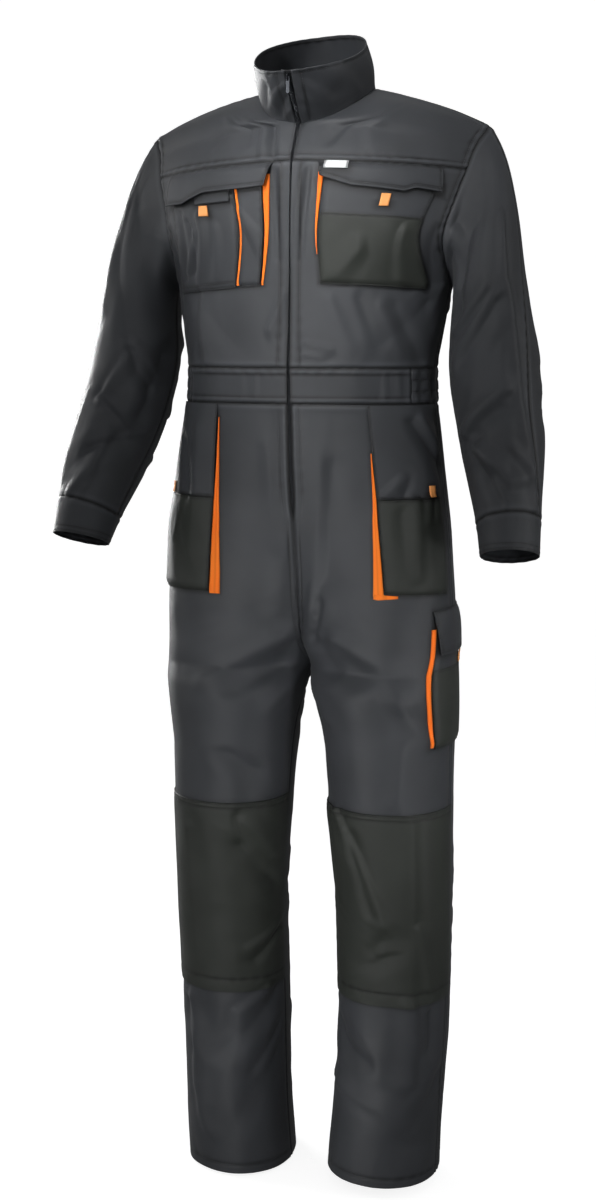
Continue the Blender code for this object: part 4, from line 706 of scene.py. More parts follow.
def foldHeight(name, side, across, levels):
    # metres that the creases and the uneven hang lift a surface; near a seam they fade out
    surface = surfaces[name, side]
    if surface["span"] == 2:
        first, second = name.replace("Round", "Front"), name.replace("Round", "Back")
        near = foldHeight(first, side, np.minimum(across, 1), levels)
        far = foldHeight(second, side, np.clip(2 - across, 0, 1), levels)
        return np.where(across > 1, far, near)
    width = surface["width"]
    u = across * width
    total = 0 * across
    for number, (where, foldSide, spread, height, *path) in enumerate(creases):
        if where == name and foldSide in (side, both):
            path = np.reshape(path, (-1, 2)) / (100, 1000)
            total += creaseHeight(u, levels, path, width, spread, height, number)
    for number, (where, foldSide, a, level, near, degrees, spacing, height) in enumerate(rumples):
        if where != name or foldSide not in (side, both):
            continue
        du, dl = u - a / 100 * width, levels - level / 1000
        mask = np.exp(-((du**2 + dl**2) / (near / 1000) ** 2) * rumple["fall"])
        shown = mask > rumple["end"]
        way = math.radians(degrees)
        along = du * math.cos(way) + dl * math.sin(way)
        over = dl * math.cos(way) - du * math.sin(way)
        # each rumple on each side has noise of its own
        seed = number * 7.3 + side * 3.1
        along, over = along / spacing * rumple["long"], over / spacing * rumple["close"]
        places = np.stack([along, over, seed + 0 * u], -1)[shown]
        places[:, 1] += noiseOver(places * (0.5, 0.35, 1) + 5.2) * rumple["bend"]
        # sharp ridges between round hollows
        rough = 1 - 2 * np.abs(noiseOver(places))
        total[shown] += height / 1000 * (rough * np.abs(rough) - rumple["sink"]) * mask[shown]
    points, _ = sample(surface, across, levels)
    places = points.reshape(-1, 3) * hang["perMetre"]
    soft = noiseOver(places) + hang["smaller"] * noiseOver(places * hang["finer"])
    total += soft.reshape(across.shape) * hang["height"]
    if name.startswith("sleeve"):
        fromEnd = levels
    else:
        fromEnd = np.minimum(abs(levels - waistTop), abs(levels - waistBottom)) + hang["byWaist"]
    room = np.minimum(np.minimum(across, 1 - across) * width, fromEnd)
    return total * np.clip(room / hang["fade"].get(name, hang["otherFade"]), 0, 1)


print("sewing")
ends = {left: "_left", right: "_right"}
# metres, and how much paler and darker the puckers are painted, as highlight and shade, and how dark the
# painted shade in the groove of a line is
stitch = {
    "pitch": 0.0034, "length": 0.0024, "width": 0.0006, "height": 0.00045, "sunk": 0.00042, "pucker": 0.0004,
    "fromEnd": 0.002, "paintedLightAndShade": 0.2, "shade": 0.95,
}
# beside a seam: the ridge over the turned edge, how far from the seam it is in mm, and the dip in the seam;
# how much paler the ridge is painted, as a highlight, and how dark the painted shade in the seam is
seam = {"ridge": 0.0006, "ridgeAt": 5, "dip": 0.0008, "paintedLightAndShade": 0.4, "shade": 1.1}
wall = 0.0014            # metres, the cloth of the main panels
pieces = {}
# lines of stitches: a piece's edges, each with how far in from it its lines lie in mm, and after colons from
# where to where along the edge, as shares of it, if not all along
sewnBothSides = {
    "front": "in 13, out 2 8", "yoke": "bottom 2 8, out 2 8, top 2, in 2", "back": "out 2 8, in 2",
    "waistband": "top 2 8, bottom 2 8", "leg_front": "out 2 8, in 2:0.66:1 8:0.66:0.86 13:0.865:1, bottom 13",
    "leg_back": "in 2 8, bottom 13", "sleeve_front": "out 2", "cuff": "bottom 2, top 2 8",
    "knee_patch": "top 2, bottom 19, top 8", "hip_pocket": "bottom 2, in 2, out 2",
    "hip_patch": "bottom 2, top 2, in 2, out 2", "chest_flap": "bottom 5, in 3, out 3, top 2",
    "chest_pocket": "out 2",
}
sewnOnce = {
    "collar": "top 4, bottom 2, out 13, in 13", "waistband_back": "top 3, bottom 3 16 31",
    "chest_pocket_right": "bottom 2 8, in 2", "pen_pocket_right": "in 2, bottom 2",
    "chest_patch_left": "top 2, bottom 2, in 2, out 2", "cargo_flap_left": "bottom 5, in 3, out 3, top 2",
    "cargo_pocket_left": "out 2", "cargo_patch_left": "top 2, bottom 2, in 2, out 2",
    "label_left": "in 1.2, out 1.2",
}


def sewingRows():
    # piece, edge, how far in from it in mm, from and to as shares of the edge
    rows = []
    for end, table in ((ends[left], sewnBothSides), (ends[right], sewnBothSides), ("", sewnOnce)):
        for piece, edges in table.items():
            for edge, *marks in (words.split() for words in edges.split(",")):
                for mark in marks:
                    inset, begin, upTo = (float(value) for value in (mark + ":0:1").split(":")[:3])
                    rows.append((piece + end, edge, inset, begin, upTo))
    return rows


sewing = sewingRows()
# metres: what counts as a narrow piece and its step, places by an edge and by a line of stitches, the share
# of a step that the others keep away from those, and the smallest step
spacing = {
    "narrow": 0.024, "narrowStep": 0.002, "byEdge": {0, 0.0009, 0.0045, 0.0065},
    "byStitches": (-0.0011, 0, 0.0011), "away": 0.45, "least": 0.0004,
}


def stations(length, step, node="", first="", last=""):
    # places from 0 to 1 along a piece, close together by its seams and its lines of stitches
    if length < spacing["narrow"]:
        return np.linspace(0, 1, max(4, int(length / spacing["narrowStep"]) + 1))
    marks = set(np.linspace(0, length, max(2, int(length / step) + 1)))
    for edge in (first, last):
        insets = [inset / 1000 for name, side, inset, _, _ in sewing if name == node and side == edge]
        close = spacing["byEdge"] | {inset + by for inset in insets for by in spacing["byStitches"]}
        close = {mark for mark in close if 0 <= mark < length / 2}
        near = [mark if edge == first else length - mark for mark in close]
        away = spacing["away"] * step
        marks = {mark for mark in marks if min(abs(mark - other) for other in near) > away} | set(near)
    found = np.array(sorted(marks))
    keep = np.concatenate([[True], np.diff(found) > spacing["least"]])
    keep[-1] = True
    found = found[keep]
    return (found - found[0]) / (found[-1] - found[0])


def lengths(points):
    # distances along the rows and up the columns of a grid of points
    along = np.cumsum(np.linalg.norm(np.diff(points, axis=1), axis=2), axis=1)
    up = np.cumsum(np.linalg.norm(np.diff(points, axis=0), axis=2), axis=0)
    along = np.concatenate([np.zeros((points.shape[0], 1)), along], axis=1)
    return along, np.concatenate([np.zeros((1, points.shape[1])), up], axis=0)


def edgeDistances(points):
    along, up = lengths(points)
    return {"in": along, "out": along[:, -1:] - along, "bottom": up, "top": up[-1:] - up}


def sewnIn(points, node, seams, flat=0):
    # cloth sinks into a seam and stands up over its turned edge; it dips and puckers along its stitches.
    # Also found is where it is painted paler as a highlight (above 0) or painted darker as shade (below 0).
    distances = edgeDistances(points)
    alongEdge = {"in": "bottom", "out": "bottom", "bottom": "in", "top": "in"}
    total, paintedLightAndShade = 0 * points[..., 0], 0 * points[..., 0]
    for edge in seams:
        d = distances[edge] * 1000
        deep = 1 - 0.8 * flat if edge == "in" else 1
        fromRidge = d - seam["ridgeAt"]
        total += deep * (seam["ridge"] * bell(fromRidge / 3.5) - seam["dip"] * bell(d / 1.5))
        # a painted highlight on the ridge over the turned edge, and painted shade in the seam
        paintedLightAndShade += deep * (seam["paintedLightAndShade"] * bell(fromRidge / 2.2) - seam["shade"] * bell(d / 1.8))
    for number, (name, edge, inset, begin, end) in enumerate(sewing):
        if name != node:
            continue
        d = distances[edge] * 1000 - inset
        s = distances[alongEdge[edge]] * 1000
        share = s / s.max()
        # a line that begins or ends on the piece fades in or out there
        begun, ahead = (share - begin) * 40 + (begin == 0), (end - share) * 40 + (end == 1)
        shown = np.clip(begun, 0, 1) * np.clip(ahead, 0, 1)
        groove = bell(d / 1.4) * shown
        # short uneven waves along the line that swell and die down again
        pucker = np.sin(s / 2.5 + 1.7 * np.sin(s / 17) + number) * (0.5 + 0.5 * np.sin(s / 41 + 1 + number))
        total += stitch["pucker"] * pucker * bell(d / 4.5) * shown - stitch["sunk"] * groove
        # painted highlight and shade along the puckers, and painted shade in the groove
        paintedLightAndShade += (stitch["paintedLightAndShade"] * pucker * bell(d / 4) - stitch["shade"] * groove) * shown
    return total, paintedLightAndShade


# how high the facing behind the zip stands, and where in mm from the edge: half way to its stitches
placket = {"height": 0.0004, "middle": 8, "reach": 4, "slant": 0.9}


def placketHeight(points):
    # slanting puckers between the zip and its stitches
    distances = edgeDistances(points)
    d, s = distances["in"] * 1000, distances["bottom"] * 1000
    along = s + d * placket["slant"]
    pucker = np.sin(along / 2.9 + 1.4 * np.sin(s / 23)) * (0.6 + 0.4 * np.sin(s / 57))
    height = placket["height"] * pucker + placket["height"]
    return height * bell((d - placket["middle"]) / placket["reach"])


def addCloth(name, points, out, finish, node, seams="", thick=wall, shade=0, flat=0):
    # one cut piece: a grid moved onto its points, with its wall outwards
    rows, columns = points.shape[:2]
    sunk, paintedLightAndShade = sewnIn(points, node, seams.split(), flat)
    # the painted light and shade of the seams and stitches, with the painted shade passed in added
    paintedLightAndShade = np.clip(paintedLightAndShade + shade, -1, 1)
    points = points + out * sunk[..., None]
    bm = bmesh.new()
    bm.loops.layers.uv.new("cut")
    bmesh.ops.create_grid(bm, x_segments=columns - 1, y_segments=rows - 1, size=1, calc_uvs=True)
    mesh = meshOf(name, bm)
    mesh.vertices.foreach_set("co", points.astype(np.float32).ravel())
    mesh.update()
    along, up = lengths(points)
    corner = np.empty(len(mesh.loops), np.int32)
    mesh.loops.foreach_get("vertex_index", corner)
    places = np.stack([along, up], axis=2).reshape(-1, 2)[corner]
    mesh.uv_layers["cut"].data.foreach_set("uv", places.astype(np.float32).ravel())
    normals = np.empty(len(mesh.polygons) * 3, np.float32)
    mesh.polygons.foreach_get("normal", normals)
    if (normals.reshape(-1, 3) * out.reshape(-1, 3)[corner[::4]]).sum() < 0:
        mesh.flip_normals()
    # the painted light and shade, kept in an attribute that the material reads
    wearAndPaintedLight = mesh.attributes.new("paintedLightAndShade", "FLOAT", "POINT")
    wearAndPaintedLight.data.foreach_set("value", paintedLightAndShade.astype(np.float32).ravel())
    mesh.shade_smooth()
    mesh.materials.append(materials[finish])
    piece = addObject(name, mesh)
    shell = piece.modifiers.new("wall", "SOLIDIFY")
    shell.thickness = thick
    shell.offset = 1
    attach(piece, "suit")
    if node:
        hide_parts(node)
    pieces[node] = {"points": points, "out": out, "wall": thick}


# name, surface, from across, to across, from level, to level, seams
panels = [
    ("front", "chest", 0, 1, waistTop, yokeSeam, "out top bottom"),
    ("yoke", "chest", 0, 1, yokeSeam, 0.0, "out top bottom"),
    ("back", "back", 0, 1, waistTop, 0.010, "in out top bottom"),
    ("waistband", "chest", 0, 0.75, waistBottom, waistTop, "out top bottom"),
    ("leg_front", "legFront", 0, 1, hem, waistBottom, "in out top"),
    ("leg_back", "legBack", 0, 1, hem, waistBottom, "in out top"),
    ("sleeve_front", "sleeveFront", 0, 1, 0, cuffRun, "in out top bottom"),
    ("sleeve_back", "sleeveBack", 0, 1, 0, cuffRun, "in out top bottom"),
    ("cuff", "sleeveRound", 0, 2, cuffRun, sleeveEnd, "bottom"),
]


def reach(surface, share, level):
    # the true width and height of a surface, measured at one share and one level
    row = abs(surface["levels"] - level).argmin()
    column = int(share / surface["span"] * (surface["points"].shape[1] - 1))
    along = np.linalg.norm(np.diff(surface["points"][row], axis=0), axis=1).sum()
    up = np.linalg.norm(np.diff(surface["points"][:, column], axis=0), axis=1).sum()
    return along / surface["span"], up / (surface["levels"][-1] - surface["levels"][0])


def layOn(name, side, across, levels, lift=0):
    # points at a height over a surface, with its creases
    points, out = sample(surfaces[name, side], across, levels)
    height = foldHeight(name, side, across, levels) + lift
    return points + out * height[..., None], out


# pieces sewn onto a surface: their lower and upper edge as lines of share and level, in thousandths and mm,
# the clear space in mm under their lower and upper corners (inner then outer, or one for all) and sewn edges
patchRows = {
    "chest": {
        "chest_pocket_right": ((316, -267, 790, -272), (362, -130, 865, -133), 2, "in out bottom"),
        "pen_pocket_right": ((164, -265, 292, -266), (172, -128, 336, -128), 2, "bottom"),
        "chest_bellows_right": ((297, -264, 311, -264), (341, -132, 357, -132), 1.2, "in"),
        "pen_bellows_right": ((148, -264, 159, -264), (122, -122, 167, -122), (1.2, 1.8, 0.9, 1.8), "in"),
        "small_flap_right": ((385, -153.5, 630, -154.5), (385, -136, 630, -138), 4.3, ""),
        "chest_flap_right": (
            (150, -137, 330, -138.5, 560, -139.5, 670, -147, 730, -152, 880, -150),
            (105, -107.5, 840, -107.5), (7.4, 7.4, 0.7, 0.7), "top",
        ),
        "chest_tab_right": ((545, -171, 605, -171), (545, -156.5, 605, -156.5), 4.3, ""),
        "chest_pocket_left": ((170, -262, 765, -268), (200, -126, 860, -130), 2, "in out bottom"),
        "chest_bellows_left": ((168, -225, 172, -225), (160, -121, 192, -121), (1.2, 1.6, 0.9, 1.6), "in"),
        "chest_flap_left": (
            (172, -126, 360, -136.5, 670, -141.5, 730, -136.5, 885, -138.5), (150, -107.5, 850, -107.5),
            (5.2, 5.2, 0.7, 0.7), "top",
        ),
        "chest_tab_left": ((545, -162, 600, -162), (545, -145.5, 600, -145.5), 4.3, ""),
        "label_left": ((190, -117.5, 325, -117.5), (190, -108.5, 325, -108.5), (6.6, 6.6, 3.9, 3.9), ""),
    },
    "legFront": {
        "hip_pocket_left": (
            (503, -539.5, 915, -539.5), (472, -418.5, 930, -418.5), (2.2, 2.2, 0.8, 0.8), "out top",
        ),
        "hip_patch_left": (
            (537, -664, 920, -667), (504, -540.5, 915, -540.5), (3, 3, 2.6, 2.6), "out bottom",
        ),
        "hip_bellows_left": ((474, -667, 531, -667), (478, -480, 484, -480), (1, 2.2, 1.2, 1.2), "in bottom"),
        "hip_tab_left": ((806, -538.5, 846, -538.5), (806, -523.5, 846, -523.5), 4.3, ""),
        "hip_pocket_right": (
            (478, -542.5, 915, -542.5), (479, -418.5, 930, -418.5), (2.2, 2.2, 0.8, 0.8), "out top",
        ),
        "hip_patch_right": (
            (488, -671, 920, -671), (479, -543.5, 915, -543.5), (3, 3, 2.6, 2.6), "out bottom",
        ),
        "hip_bellows_right": (
            (424, -673, 484, -673), (464, -436, 469, -436), (1, 2.2, 1.2, 1.2), "in bottom",
        ),
        "hip_tab_right": ((800, -541.5, 840, -541.5), (800, -526.5, 840, -526.5), 4.3, ""),
    },
    "legRound": {
        "cargo_pocket_left": ((822, -872, 1400, -872), (822, -712, 1400, -712), 2, "in out bottom"),
        "cargo_bellows_left": (
            (796, -870, 817, -870), (790, -712, 817, -712), (1.2, 1.8, 1.2, 1.8), "in bottom",
        ),
        "cargo_flap_left": ((835, -746, 1420, -746), (795, -687, 1420, -687), (6.4, 6.4, 0.7, 0.7), "top"),
        "cargo_tab_left": ((1060, -765, 1105, -765), (1060, -749, 1105, -749), (4.9, 4.9, 6, 6), ""),
    },
}
kinds = {
    "pocket": "greyTwill", "flap": "greyTwill", "patch": "darkOxford", "bellows": "orangePoplin",
    "tab": "orangeTape", "label": "whiteTape",
}


def asLine(numbers):
    return np.reshape(numbers, (-1, 2)) / 1000


def readPatches():
    # node: surface, side, lower and upper edge, clear space at the corners, finish, sewn edges
    found = {}
    for surface, rows in patchRows.items():
        for node, (low, high, space, sewn) in rows.items():
            side = right if node.endswith("_right") else left
            finish = next(kinds[word] for word in node.split("_") if word in kinds)
            found[node] = surface, side, asLine(low), asLine(high), np.ones(4) * space, finish, sewn
    return found


patches = readPatches()
# a cover lies close on the lower part of a pocket: the pocket, its height as a share of the pocket's
covers = {"chest_patch_left": ("chest_pocket_left", 0.667), "cargo_patch_left": ("cargo_pocket_left", 0.667)}
walls = {
    "greyTwill": wall, "darkOxford": wall, "orangePoplin": 0.0010, "orangeTape": 0.0012, "whiteTape": 0.0008,
}
kneeSpan = 0.006, 0.994
# what lies on what: a higher number lies on a lower one
orders = {node: 10 * (number + 1) for number, node in enumerate(patches)}
onTop, topmost = 5, 900
# how dark the painted shadow is on the cloth beside what is sewn on it: the knee patch, a flat pocket, a
# loose one, a cover
beside = {"knee": 0.45, "flat": 0.8, "loose": 0.95, "cover": 0.5, "looseFrom": 4, "darkest": -0.9}


def groupOf(name, across):
    # a leg's or sleeve's front and back share one way round
    if name.startswith(("leg", "sleeve")):
        return name[:3], 2 - across if name.endswith("Back") else across
    return name, across


def findOutlines():
    # the outlines of the pieces sewn on, the lowest first, and how dark the painted shadow on the cloth
    # beside each is
    first, last = kneeSpan
    knee = np.array([(first, kneeBottom), (last, kneeBottom), (last, kneeTop), (first, kneeTop)])
    found = [("legFront", side, knee, beside["knee"], 1) for side in (left, right)]
    for node, (name, side, low, high, corners, _, _) in patches.items():
        depth = beside["flat" if max(corners) < beside["looseFrom"] else "loose"]
        found.append((name, side, np.vstack([low, high[::-1]]), depth, orders[node]))
        for under, share in covers.values():
            if under == node:
                line = np.vstack([low, (low + (high - low) * share)[::-1]])
                found.append((name, side, line, beside["cover"], orders[node] + onTop))
    return found


outlines = findOutlines()


def shadeBeside(name, side, across, levels, order):
    # painted shadow, below 0, close beside the pieces that lie on this one
    group, u = groupOf(name, across)
    wide, tall = reach(surfaces[name, side], 0.5 * surfaces[name, side]["span"], float(np.mean(levels)))
    places = np.stack([u * wide, levels * tall], -1) * 1000
    total = 0 * across
    for other, otherSide, line, depth, number in outlines:
        if number <= order or otherSide != side or groupOf(other, 0)[0] != group:
            continue
        corners = line * (wide, tall) * 1000
        nearest, inside = 1e9 + 0 * across, np.zeros(across.shape, bool)
        for start, end in zip(corners, np.roll(corners, -1, axis=0)):
            step = end - start
            t = np.clip(((places - start) @ step) / (step @ step + 1e-9), 0, 1)
            nearest = np.minimum(nearest, np.linalg.norm(places - start - t[..., None] * step, axis=-1))
            crossing = (start[1] > places[..., 1]) != (end[1] > places[..., 1])
            at = start[0] + (places[..., 1] - start[1]) * step[0] / (step[1] if abs(step[1]) > 1e-9 else 1e-9)
            inside ^= crossing & (places[..., 0] < at)
        below = places[..., 1] < corners[:, 1].mean()
        # three millimetres, and seven under what hangs loose
        spread = 3 if depth < beside["loose"] else 3 + 4 * below
        total = total - bell(np.where(inside, 0, nearest) / spread) * depth * (0.7 + 0.3 * below)
    return np.maximum(total, beside["darkest"])


print("panels")
panelSteps = {"leg_front": 0.0048, "leg_back": 0.0056, "other": 0.0035}    # metres
# the zip's slit: it opens from this level down, over this length; how dark its painted shade is, and half how
# wide in mm
parting = {"from": -0.20, "over": 0.10, "shade": 0.9, "half": 2.6}
# the inside of a thigh: how far above the crotch the shade begins, how dark it is all along and more at the
# top, how far down that reaches, and how wide it is in mm
between = {"above": 0.03, "shade": 0.3, "more": 0.6, "down": 0.09, "wide": 30}


def addPanel(side, name, surfaceName, a1, a2, l1, l2, seams):
    wide, tall = reach(surfaces[surfaceName, side], (a1 + a2) / 2, (l1 + l2) / 2)
    step = panelSteps.get(name, panelSteps["other"])
    node = name + ends[side]
    acrossAt = a1 + (a2 - a1) * stations((a2 - a1) * wide, step, node, "in", "out")
    levelAt = l1 + (l2 - l1) * stations((l2 - l1) * tall, step, node, "bottom", "top")
    grid = np.meshgrid(acrossAt, levelAt)
    points, out = layOn(surfaceName, side, *grid)
    shade, flat = shadeBeside(surfaceName, side, *grid, 0), 0
    fromEdge, level = acrossAt * wide * 1000, levelAt[:, None]
    if name in ("front", "waistband"):
        points = points + out * placketHeight(points)[..., None]
    if name in ("front", "waistband", "leg_front"):
        # the zip's slit stands open lower down; under it the seam lies flat
        parted = np.clip((parting["from"] - level) / parting["over"], 0, 1) * (level > flyEnd)
        flat = ((level < flyEnd) & (level > crotch)) * 1.0
        # painted shade along the edge where the slit stands open
        shade = shade - parting["shade"] * parted * bell(fromEdge / parting["half"])
    if name == "leg_back":
        # the inside of the thigh lies in the other leg's shade, up to the inside seam
        under = crotch + between["above"] - level
        low = np.clip(under / between["above"], 0, 1) * bell(np.clip(thigh - level, 0, 1) / between["down"])
        dark = (between["shade"] + between["more"] * low) * (under > 0)
        shade = shade - dark * bell(fromEdge / between["wide"])
    addCloth(node + "_cloth", points, out, "greyTwill", node, seams, shade=shade, flat=flat)


for side in (left, right):
    for panel in panels:
        addPanel(side, *panel)

print("patches")
patchStep = 0.003        # metres
# in mm: how near a sewn edge holds a patch, and how high; how far a pocket stands off in its middle and
# unevenly; how far a flap's free edge curls, and its corners; the room under a cover and a knee patch
loose = {
    "heldWithin": 9, "held": 0.35, "middle": 0.9, "uneven": 0.4, "noise": 24, "curl": 0.4, "corner": 1.2,
    "cover": 1.8, "knee": 0.2, "kneeSpace": 0.4,
}
# folded bellows: the valley down them in mm, where across and how wide it is, and the metres of width from
# which it has its full depth; how dark the folds are, how wide by the edges, where and how wide in the middle
bellows = {
    "valley": 0.7, "at": 0.42, "wide": 0.16, "fullFrom": 0.008, "shade": 0.3, "byEdge": 0.10,
    "darkAt": 0.46, "darkWide": 0.06,
}


def addPatch(name, low, high, surfaceName, side, corners, finish, sewn, node, order, extra=0):
    surface = surfaces[surfaceName, side]
    middle = (low[len(low) // 2] + high[len(high) // 2]) / 2
    wide, tall = reach(surface, *middle)
    width = abs(low[-1] - low[0])[0] * wide
    height = abs(high[:, 1].mean() - low[:, 1].mean()) * tall
    across = stations(width, patchStep, node, "in", "out")
    rise = stations(height, patchStep, node, "bottom", "top")[:, None]

    def onLine(line):
        share = (line[:, 0] - line[0, 0]) / (line[-1, 0] - line[0, 0])
        return np.stack([np.interp(across, share, line[:, k]) for k in (0, 1)], 1)

    place = onLine(low) + (onLine(high) - onLine(low)) * rise[..., None]
    lowLift = corners[0] + (corners[1] - corners[0]) * across
    highLift = corners[2] + (corners[3] - corners[2]) * across
    lift = lowLift + (highLift - lowLift) * rise**3
    flat = sample(surface, place[..., 0], place[..., 1])[0]
    distance = edgeDistances(flat)
    nearest = np.min([distance[edge] for edge in sewn.split()] + [0 * flat[..., 0] + 1], axis=0) * 1000
    free = np.clip(nearest / loose["heldWithin"], 0, 1)
    free = free * free * (3 - 2 * free)
    lift = loose["held"] + (lift - loose["held"]) * free + extra
    if "pocket" in name or "patch" in name:
        # empty and soft: it stands off a little more in its lower half, unevenly
        soft = noiseOver(flat.reshape(-1, 3) * loose["noise"]).reshape(lift.shape)
        bulge = np.sin(math.pi * np.clip(rise * 0.9 + 0.1, 0, 1))
        lift = lift + free * (loose["middle"] * bulge + loose["uneven"] * soft)
    if "bellows" in name:
        # folded lengthwise: a valley down its middle, the outer half rising to the pocket's edge
        valley = bellows["valley"] * bell((across - bellows["at"]) / bellows["wide"])
        lift = lift - valley * np.clip(width / bellows["fullFrom"], 0, 1)
    if "flap" in name:
        # its free edge curls up, most at the corners
        corner = np.abs(across - 0.5) * 2
        lift = lift + (1 - rise) ** 3 * (loose["curl"] + loose["corner"] * corner**3)
    points, out = layOn(surfaceName, side, place[..., 0], place[..., 1], wall + lift / 1000)
    if "bellows" in name:
        # its folds lie in the shade of the pocket's edge
        folds = bell(np.minimum(across, 1 - across) / bellows["byEdge"])
        shade = -bellows["shade"] * (folds + bell((across - bellows["darkAt"]) / bellows["darkWide"]))
    else:
        shade = shadeBeside(surfaceName, side, place[..., 0], place[..., 1], order)
    addCloth(name, points, out, finish, node, thick=walls[finish], shade=shade)


# the left hip pocket's bellows runs on under the pocket's lower edge
foot = asLine((476, -670.5, 500, -671.5, 605, -669)), asLine((476, -664, 605, -665.5))
space = 0.8, 0.8, 1.4, 1.4
addPatch("hip_bellows_foot_left", *foot, "legFront", left, space, "orangePoplin", "in out", "", topmost)
for node, (surfaceName, side, low, high, corners, finish, sewn) in patches.items():
    addPatch(node + "_cloth", low, high, surfaceName, side, corners, finish, sewn, node, orders[node])
for node, (under, share) in covers.items():
    surfaceName, side, low, high, corners, _, _ = patches[under]
    addPatch(
        node + "_cloth", low, low + (high - low) * share, surfaceName, side, corners, "darkOxford",
        "in out bottom", node, orders[under] + onTop, loose["cover"],
    )
for side in (left, right):
    node = "knee_patch" + ends[side]
    levels = kneeBottom + 0.001, kneeTop - 0.001
    edges = [np.array([(share, level) for share in kneeSpan]) for level in levels]
    space = np.ones(4) * loose["kneeSpace"]
    addPatch(
        node + "_cloth", *edges, "legFront", side, space, "darkOxford", "in out bottom top", node, 1,
        loose["knee"],
    )

print("collar")
# creases by the zip: side, path of (metres from the zip, share of the height), half width and height in mm
collarCreases = [
    (right, [(0.004, 0.80), (0.020, 0.62), (0.030, 0.40)], 4, 1.5),
    (right, [(0.003, 0.58), (0.016, 0.38), (0.020, 0.15)], 4, -1.7),
    (right, [(0.003, 0.34), (0.013, 0.14)], 4, 1.4),
    (right, [(0.034, 0.70), (0.048, 0.30)], 7, -1.3),
    (left, [(0.005, 0.72), (0.011, 0.42), (0.007, 0.12)], 4, 1.3),
    (left, [(0.018, 0.90), (0.050, 0.45)], 9, -1.0),
    (left, [(0.066, 0.90), (0.092, 0.20)], 12, 1.2),
]
collar = {
    "columns": 150, "bulge": 0.012, "gap": 3.4, "tuck": -0.04, "height": 0.078, "step": 0.003,
    "halfWidth": 0.070, "middle": -0.006, "front": 0.096, "back": 0.088, "frontLevel": 0.002,
    "backLevel": 0.073, "creased": 0.075, "soft": 0.0018, "pucker": 0.0006, "wave": 0.0014,
}


def addCollar():
    degrees = np.linspace(collar["gap"], 180, collar["columns"] // 2 + 1)
    baseDegrees = np.linspace(slit, 180, len(degrees))
    # the levels of the bodice's rows that end at the neck
    frontLevel = np.interp(baseDegrees, [slit, 30, 60, 90], [neckFront, -0.038, -0.019, 0])
    backLevel = np.interp(baseDegrees, [90, 120, 150, 180], [0.010, 0.008, 0.006, 0.004])
    ahead = sample(surfaces["chest", left], 0 * baseDegrees, frontLevel)[0]
    behind = sample(surfaces["back", left], 0 * baseDegrees, backLevel)[0]
    base = np.where((baseDegrees < 90)[:, None], ahead, behind)
    turn = np.radians(degrees)
    forward = np.cos(turn)
    y = collar["middle"] - np.where(forward > 0, collar["front"], collar["back"]) * forward
    rise = (y - (collar["middle"] - collar["front"])) / (collar["front"] + collar["back"])
    z = collar["frontLevel"] + (collar["backLevel"] - collar["frontLevel"]) * rise
    top = np.stack([collar["halfWidth"] * np.sin(turn), y, z], 1)
    bulge = np.stack([np.sin(turn), -np.cos(turn), 0 * turn], 1)
    # its turned edge reaches a little way down inside the neck
    rows = stations(collar["height"], collar["step"], "collar", "bottom", "top")
    shares = collar["tuck"] + (1 - collar["tuck"]) * rows
    half = np.array([base + (top - base) * s + bulge * collar["bulge"] * s * (1 - s) for s in shares])
    mirrored = half[:, -2::-1] * (-1, 1, 1)
    points = np.concatenate([half, mirrored], axis=1)
    out = wayOut(points, 1)
    if (out[0, 0] * (0, -1, 0)).sum() < 0:
        out = -out
    soft = noiseOver(points.reshape(-1, 3) * 22).reshape(points.shape[:2]) * collar["soft"]
    share = shares[:, None]
    free = np.sin(np.clip(share, 0, 1) * math.pi) ** 0.5
    # short diagonal puckers by the zip, where the tape pulls the cloth
    along, up = lengths(points)
    fromZip = np.minimum(along, along[:, -1:] - along) * 1000
    fade = np.exp(-fromZip / 16) * np.clip(fromZip / 5, 0, 1)
    pucker = collar["pucker"] * np.sin(up * 1000 / 3.2 + fromZip / 5) * fade
    middle = points.shape[1] // 2
    for number, (side, path, spread, height) in enumerate(collarCreases):
        bent = np.array(path) * (1, collar["creased"])
        crease = creaseHeight(fromZip / 1000, up, bent, 1, spread, height, number)
        crease[:, middle:] *= side == right
        crease[:, :middle] *= side == left
        pucker = pucker + crease
    points = points + out * ((soft + pucker) * free)[..., None]
    # the rim isn't quite level
    wave = collar["wave"] * np.sin(np.linspace(0, 2 * math.pi, points.shape[1]) * 3 + 0.6)
    points[..., 2] += wave * share**2
    addCloth("collar_cloth", points, out, "greyTwill", "collar", "bottom")


addCollar()

print("waistband back")
# two channels sewn through the elastic hold the gathers down: where up the band, how narrow, how much
elastic = {
    "gathers": 25, "height": 0.0012, "uneven": 0.0003, "perGather": 12, "rows": 24, "columns": 81,
    "from": 0.75, "channels": (0.33, 0.67), "narrow": 0.04, "held": 0.55, "sunk": 0.0003,
}


